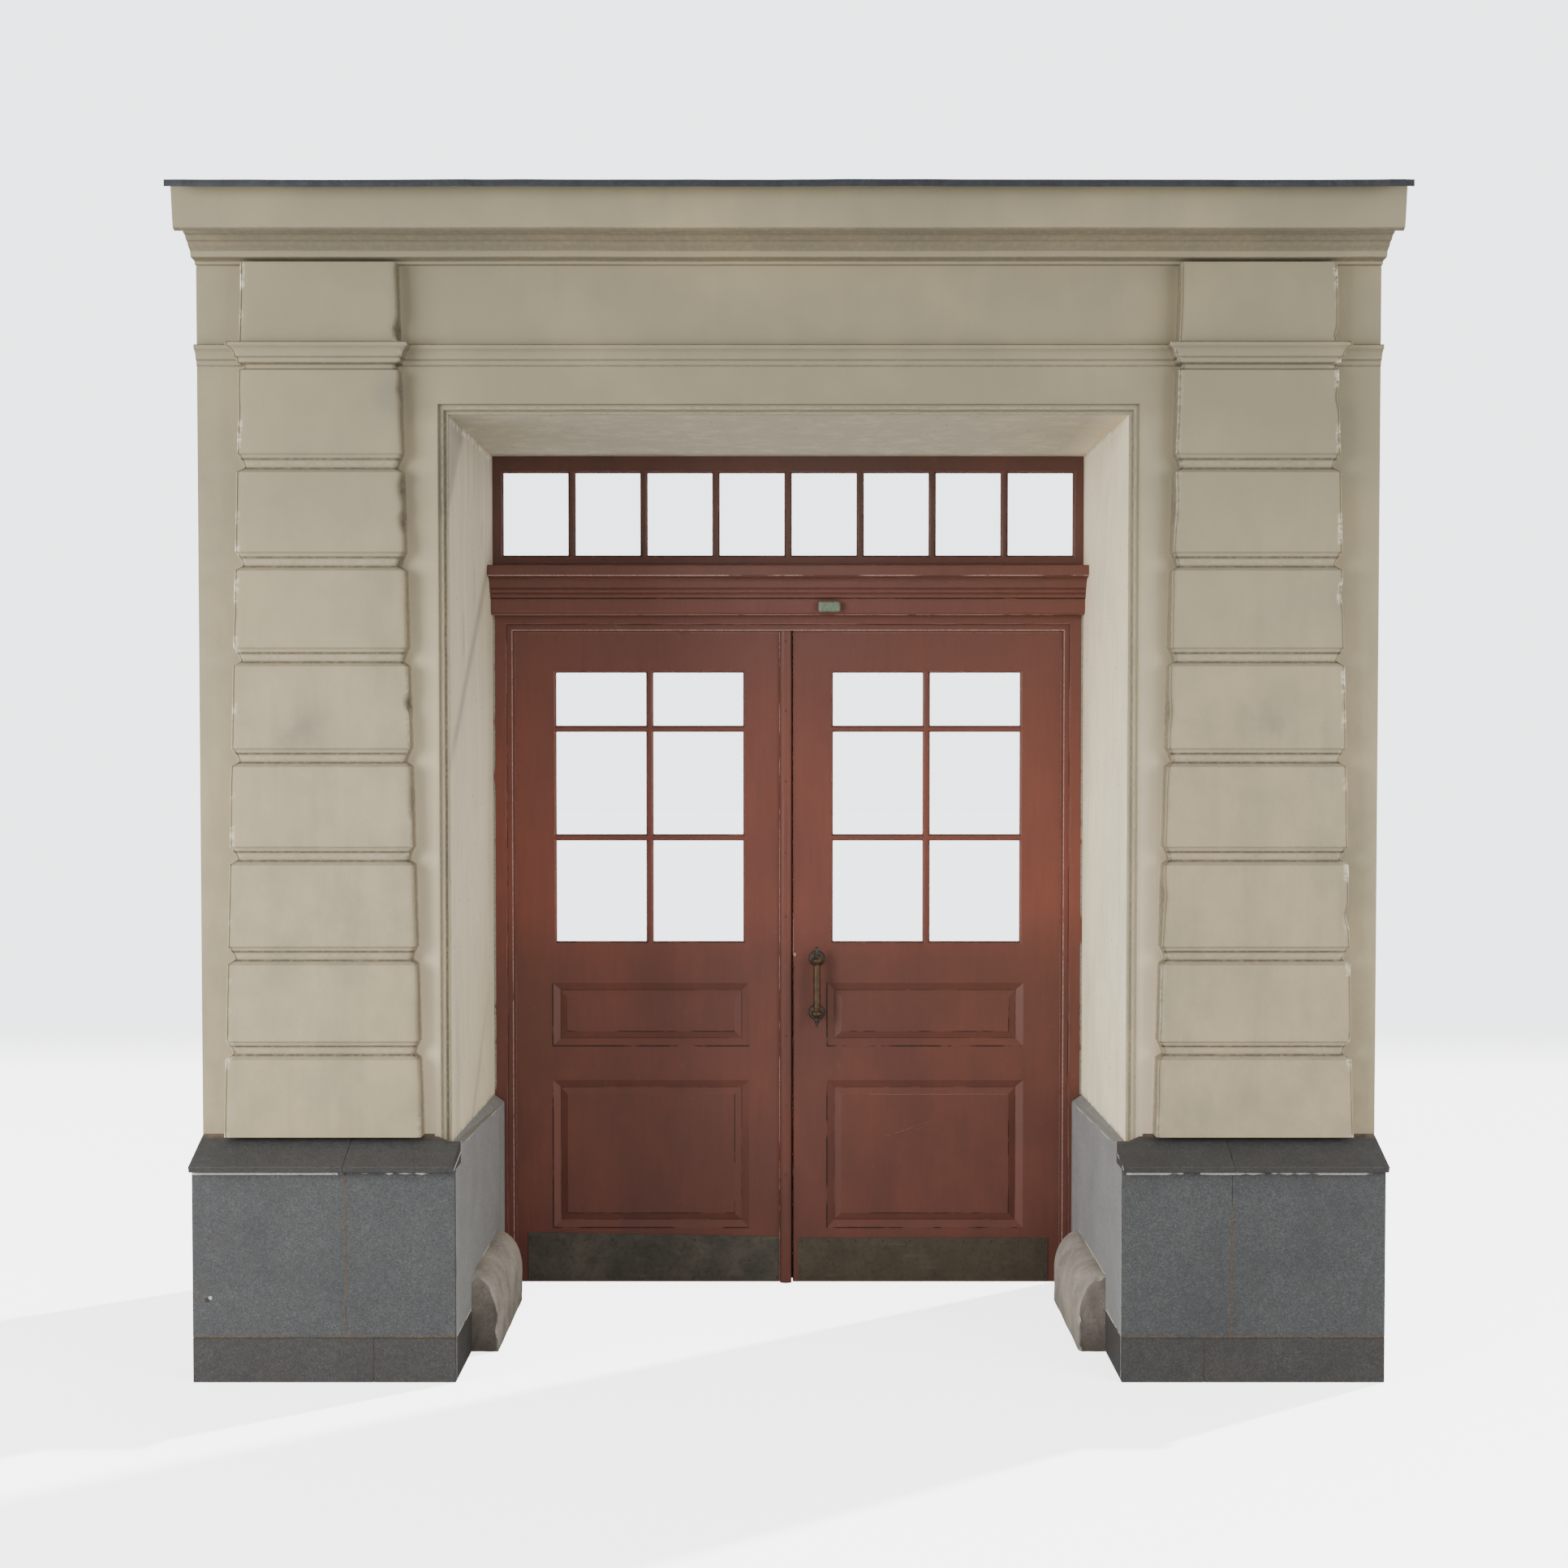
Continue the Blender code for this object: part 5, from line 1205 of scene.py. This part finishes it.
def leaf_rects(side):
    """The six lights and two panels of a leaf as x0, x1, z0, z1."""
    width = (LIGHT_OUTER - LIGHT_INNER - LIGHT_MUNTIN) / 2
    columns = ((LIGHT_OUTER - width, LIGHT_OUTER), (LIGHT_INNER, LIGHT_INNER + width))
    (upper_foot, upper_head), (lower_foot, lower_head) = LIGHT_BARS
    rows = ((upper_head, LIGHT_TOP), (lower_head, upper_foot), (LIGHT_BOTTOM, lower_foot))
    lights = []
    for z0, z1 in rows:
        for near, far in columns:
            x0, x1 = sorted((side * near, side * far))
            lights.append((x0, x1, z0, z1))
    x0, x1 = sorted((side * PANEL_OUTER, side * PANEL_INNER))
    return lights, [(x0, x1, z0, z1) for z0, z1 in PANELS]


def shrink(rect, amount):
    x0, x1, z0, z1 = rect
    return (x0 + amount, x1 - amount, z0 + amount, z1 - amount)


def make_leaf_wear_and_shade(side):
    """Dirt and painted shade in the quirks and under the lights, worn arrises with painted highlights, screws
    and scratches of one leaf.
    """
    skin = Skin()
    name = "left" if side < 0 else "right"
    lights, panels = leaf_rects(side)
    seed = 100.0 + 30 * side
    # Dark lines under each light: painted shadow
    for i, rect in enumerate(lights):
        frame_line(skin, shrink(rect, -CHAMFER), LEAF_FACE + CHAMFER, (0, -1, 0.5), 0.0052, 0.42,
                   seed + i, 1, "b")
    # Dark lines in the panel valleys, round the fields and along the panels' left and lower edges: painted
    # shade
    for i, rect in enumerate(panels):
        field = shrink(rect, PANEL_SLOPE + FIELD_BEVEL)
        frame_line(skin, shrink(rect, PANEL_SLOPE), LEAF_FACE + PANEL_SINK, STREET, 0.0052, 0.30,
                   seed + 40 + i, 1)
        frame_line(skin, field, LEAF_FACE + FIELD_SINK, STREET, 0.0030, 0.08, seed + 50 + i, 1, "rb")
        frame_line(skin, rect, LEAF_FACE, STREET, 0.0046, 0.28, seed + 60 + i, 1, "bl")
    plate = LEAF_FACE - GAP - 0.0015
    if side < 0:
        near, far = MEETING_X - ASTRAGAL_WIDTH - 0.012, -KICK_OUTER + 0.012
        top = 0.150
    else:
        near, far = MEETING_X + MEETING_GAP + 0.030, KICK_OUTER - 0.012
        top = 0.146
    for i in range(10):
        x = near + (far - near) * i / 9
        screw(skin, x, plate, top)
        if i % 3 == 0:
            screw(skin, x, plate, 0.022)
    if side < 0:
        # Beside the cover strip: a pale line of wear and painted highlight, a dark line of painted shade, and
        # screws
        edge, face = MEETING_X - ASTRAGAL_WIDTH, LEAF_FACE - GAP
        upright_run(skin, edge - 0.001, face, LEAF_FLOOR + 0.002, STOP_TOP - 0.006, STREET, 0.0030, 0.22,
                    141.0)
        upright_run(skin, edge + 0.0035, face - 0.006, 0.02, 2.22, (-0.8, -1, 0), 0.0036, 0.2, 143.0, 1)
        for z in (2.213, 1.975, 1.735, 1.490, 1.270, 0.860, 0.620, 0.380):
            screw(skin, MEETING_X - ASTRAGAL_WIDTH / 2, face - ASTRAGAL_REACH + 0.0002, z, 0.0036)
    else:
        y = FACE_Y + LEAF_FACE + FIELD_SINK
        scratches = ((0.330, 0.515, 0.357, 0.512), (0.366, 0.517, 0.484, 0.560), (0.420, 0.517, 0.484, 0.553),
                     (0.728, 0.518, 0.774, 0.518))
        for k, (x0, z0, x1, z1) in enumerate(scratches):
            broken_line(skin, (x0, y, z0), (x1, y, z1), STREET, 0.0016, 0.25, 150.0 + k, 3)
        # A faint pale line along the top of the lower field: painted highlight
        x0, x1, z0, z1 = shrink(panels[1], PANEL_SLOPE + FIELD_BEVEL)
        level_run(skin, x0, x1, LEAF_FACE + FIELD_SINK, z1, STREET, 0.0024, 0.30, 158.0, 3)
        # At the meeting edge: a dark line low down as painted shade, and pale lines higher up as painted
        # light
        meeting = MEETING_X + MEETING_GAP + 0.0018
        upright_run(skin, meeting, LEAF_FACE, LEAF_FLOOR + 0.002, 1.10, STREET, 0.0030, 0.30, 155.0, 1)
        upright_run(skin, meeting, LEAF_FACE, 1.13, STOP_TOP - 0.006, STREET, 0.0024, 0.75, 156.0, 3)
        upright_run(skin, meeting, LEAF_FACE - 0.0002, 1.135, 1.26, STREET, 0.0026, 0.75, 157.0)
    skin.build(f"leaf_wear_and_shade_{name}", [worn_and_lit_edge, grime_and_shade, dark_bronze, faint_wear_and_highlight], f"leaf_{name}", sharp=30)


def make_meeting_gap_shade():
    """Dark brush-seal strip on the left leaf's edge, which fills the gap between the leaves with painted
    shade.
    """
    skin = Skin()
    rod(skin, (MEETING_X + 0.00002, FACE_Y + LEAF_BACK - 0.0100, LEAF_FLOOR + 0.001),
        (MEETING_X + MEETING_GAP - 0.00005, FACE_Y + LEAF_BACK - 0.0020, LEAF_TOP - 0.002))
    skin.build("meeting_gap_shade", [gap_shade_fill], "leaf_left", smooth=False)


def make_astragal():
    """Rounded cover strip with a finer section than the solid."""
    skin = Skin()
    back = FACE_Y + LEAF_FACE - GAP
    flat = 0.3 * ASTRAGAL_REACH
    outline = [(MEETING_X, back)]
    for angle in np.linspace(0, math.pi, 25):
        x = MEETING_X - ASTRAGAL_WIDTH / 2 + ASTRAGAL_WIDTH / 2 * math.cos(angle)
        outline.append((x, back - flat - (ASTRAGAL_REACH - flat) * math.sin(angle)))
    outline.append((MEETING_X - ASTRAGAL_WIDTH, back))
    levels = np.linspace(LEAF_FLOOR, STOP_TOP - 0.003, 60)
    points = np.array([[(x, y, z) for x, y in outline] for z in levels])
    skin.grid(points, flip=True, wrap=True)
    skin.fan(points[0])
    skin.fan(points[-1], flip=True)
    skin.build("cover_strip", [timber], "leaf_left", ["astragal"], sharp=35)


make_wall()
make_cornice()
make_flashing()
make_stone_joints()
make_frame_wear_and_shade()
make_handle()
make_bolt()
make_astragal()
make_meeting_gap_shade()
for side in (-1, 1):
    make_guard_stone(side)
    make_leaf_wear_and_shade(side)

for side in ("left", "right"):
    for name in ("dado_outer", "dado_inner"):
        dress(f"{name}_{side}", granite, 0.0020)
    dress(f"dado_reveal_{side}", granite_reveal_lit)
    for name in ("base_outer", "base_inner", "base_reveal"):
        dress(f"{name}_{side}", granite_base)
    for name in ("cap_outer", "cap_inner"):
        dress(f"{name}_{side}", granite_cap)
    dress(f"door_leaf_{side}", timber, 0.0012)
    dress(f"kick_plate_{side}", kick_metal)
    for i in range(1, 7):
        dress(f"pane_{side}_{i}", glass)
    for i in (1, 2):
        dress(f"hinge_{side}_{i}_leaf", hinge_metal)
        dress(f"hinge_{side}_{i}_frame", hinge_metal)
for i in range(1, 9):
    dress(f"fanlight_pane_{i}", glass)
dress("door_frame", timber, 0.0012)
dress("transom_bar", timber, 0.0010)
dress("fanlight_sash", timber, 0.0012)
dress("sensor_cover", plastic)

# Floor, light and camera
SCREEN_LIGHT = (3.32, 3.42, 3.55)
FLOOR_LIGHT = (2.9, 2.94, 2.98)
FLOOR_SHADE = 0.62
FADE_START, FADE_END = 4.2, 6.3
SCREEN_Y = 30.0
SUN_TURN, SUN_HEIGHT = 33.0, 36.0
SUN_POWER, SUN_SPREAD = 9.5, 1.6
KEY_POWER, FILL_POWER = 710.0, 380.0
SKY_COLOUR, SKY_STRENGTH = (0.93, 0.95, 0.97, 1.0), 0.72
CAMERA_PLACE = (-0.014, FACE_Y - 5.6, 1.895)
CAMERA_TILT, CAMERA_LENS = 88.5, 43.455


def stage_plane(name, size, place, turn=0.0):
    """A square sheet of the studio, turned about X, with an empty material."""
    mesh = bpy.data.meshes.new(name)
    tool = bmesh.new()
    bmesh.ops.create_grid(tool, x_segments=1, y_segments=1, size=size)
    tool.to_mesh(mesh)
    tool.free()
    plane = bpy.data.objects.new(name, mesh)
    bpy.context.scene.collection.objects.link(plane)
    plane.location = place
    plane.rotation_euler = (math.radians(turn), 0.0, 0.0)
    material = bpy.data.materials.new(name)
    material.use_nodes = True
    material.node_tree.nodes.clear()
    mesh.materials.append(material)
    return plane, material.node_tree


def join(tree, kind, **values):
    """A new node, with values or links put on the inputs of these names."""
    node = tree.nodes.new(kind)
    for key, value in values.items():
        socket = node.inputs[key.replace("_", " ")]
        if isinstance(value, bpy.types.NodeSocket):
            tree.links.new(value, socket)
        else:
            socket.default_value = value
    return node.outputs[0] if node.outputs else None


def glow_node(tree, colour):
    """Light of a colour whose parts may be above 1."""
    strength = max(colour)
    return join(tree, "ShaderNodeEmission", Color=(*(c / strength for c in colour), 1.0), Strength=strength)


def seen_only(plane):
    """A sheet that the eye sees and that lights nothing."""
    plane.visible_diffuse = False
    plane.visible_glossy = False
    plane.visible_shadow = False


def stage_floor():
    """A matt pale floor, under a bright sheet that only the eye sees and that runs out into the screen."""
    tree = stage_plane("studio_floor", 40.0, (0.0, 0.0, -0.001))[1]
    matt = join(tree, "ShaderNodeBsdfDiffuse", Color=(FLOOR_SHADE, FLOOR_SHADE, FLOOR_SHADE, 1.0))
    join(tree, "ShaderNodeOutputMaterial", Surface=matt)

    sheet, tree = stage_plane("studio_sheet", 40.0, (0.0, 0.0, -0.0006))
    seen_only(sheet)
    matt = join(tree, "ShaderNodeBsdfDiffuse", Color=(0.9, 0.9, 0.9, 1.0))
    place = tree.nodes.new("ShaderNodeTexCoord")
    split = tree.nodes.new("ShaderNodeSeparateXYZ")
    tree.links.new(place.outputs["Object"], split.inputs[0])
    fade = tree.nodes.new("ShaderNodeMapRange")
    fade.interpolation_type = "SMOOTHSTEP"
    tree.links.new(split.outputs["Y"], fade.inputs["Value"])
    fade.inputs["From Min"].default_value = FADE_START
    fade.inputs["From Max"].default_value = FADE_END
    both = tree.nodes.new("ShaderNodeAddShader")
    tree.links.new(matt, both.inputs[0])
    tree.links.new(glow_node(tree, FLOOR_LIGHT), both.inputs[1])
    mixed = tree.nodes.new("ShaderNodeMixShader")
    for i, socket in enumerate((fade.outputs["Result"], both.outputs[0], glow_node(tree, SCREEN_LIGHT))):
        tree.links.new(socket, mixed.inputs[i])
    join(tree, "ShaderNodeOutputMaterial", Surface=mixed.outputs[0])
    return sheet


def stage_screen():
    """A softly lit screen far behind the object."""
    screen, tree = stage_plane("studio_screen", 60.0, (0.0, SCREEN_Y, 0.0), 90.0)
    seen_only(screen)
    join(tree, "ShaderNodeOutputMaterial", Surface=glow_node(tree, SCREEN_LIGHT))


floor_sheet = stage_floor()
stage_screen()

world = bpy.data.worlds.new("studio")
bpy.context.scene.world = world
world.use_nodes = True
background = world.node_tree.nodes["Background"]
background.inputs["Color"].default_value = SKY_COLOUR
background.inputs["Strength"].default_value = SKY_STRENGTH


def area_light(name, place, aim, size, power):
    """A soft box at one place, turned towards another."""
    data = bpy.data.lights.new(name, "AREA")
    data.shape = "RECTANGLE"
    data.size, data.size_y = size
    data.energy = power
    obj = bpy.data.objects.new(name, data)
    obj.location = place
    obj.rotation_euler = (Vector(aim) - Vector(place)).to_track_quat("-Z", "Y").to_euler()
    bpy.context.scene.collection.objects.link(obj)


for name, side, power in (("key", -1, KEY_POWER), ("fill", 1, FILL_POWER)):
    area_light(name, (side * 6.3, -4.5, 2.7), (side * -0.95, 0.1, 1.3), (4.6, 3.8), power)


def floor_sun():
    """A low soft light from behind on the right. It reaches the floor alone, past the masonry."""
    data = bpy.data.lights.new("floor_sun", "SUN")
    data.energy = SUN_POWER
    data.angle = math.radians(SUN_SPREAD)
    sun = bpy.data.objects.new("floor_sun", data)
    turn, height = math.radians(SUN_TURN), math.radians(SUN_HEIGHT)
    ray = Vector((-math.cos(turn) * math.cos(height), -math.sin(turn) * math.cos(height), -math.sin(height)))
    sun.rotation_euler = ray.to_track_quat("-Z", "Y").to_euler()
    bpy.context.scene.collection.objects.link(sun)
    lit = bpy.data.collections.new("floor_sun_lights")
    lit.objects.link(floor_sheet)
    shading = bpy.data.collections.new("floor_sun_shadows")
    masonry = [o for o in bpy.context.scene.objects if o.type == "MESH" and (
        o.name == "wall_render" or o.name.startswith(("base_", "dado_", "cap_", "kerb_")))]
    for obj in masonry:
        shading.objects.link(obj)
    sun.light_linking.receiver_collection = lit
    sun.light_linking.blocker_collection = shading


floor_sun()

camera_data = bpy.data.cameras.new("photo_camera")
camera_data.sensor_width = 36.0
camera_data.lens = CAMERA_LENS
camera = bpy.data.objects.new("photo_camera", camera_data)
camera.location = CAMERA_PLACE
camera.rotation_euler = (math.radians(CAMERA_TILT), 0.0, 0.0)
bpy.context.scene.collection.objects.link(camera)
bpy.context.scene.camera = camera
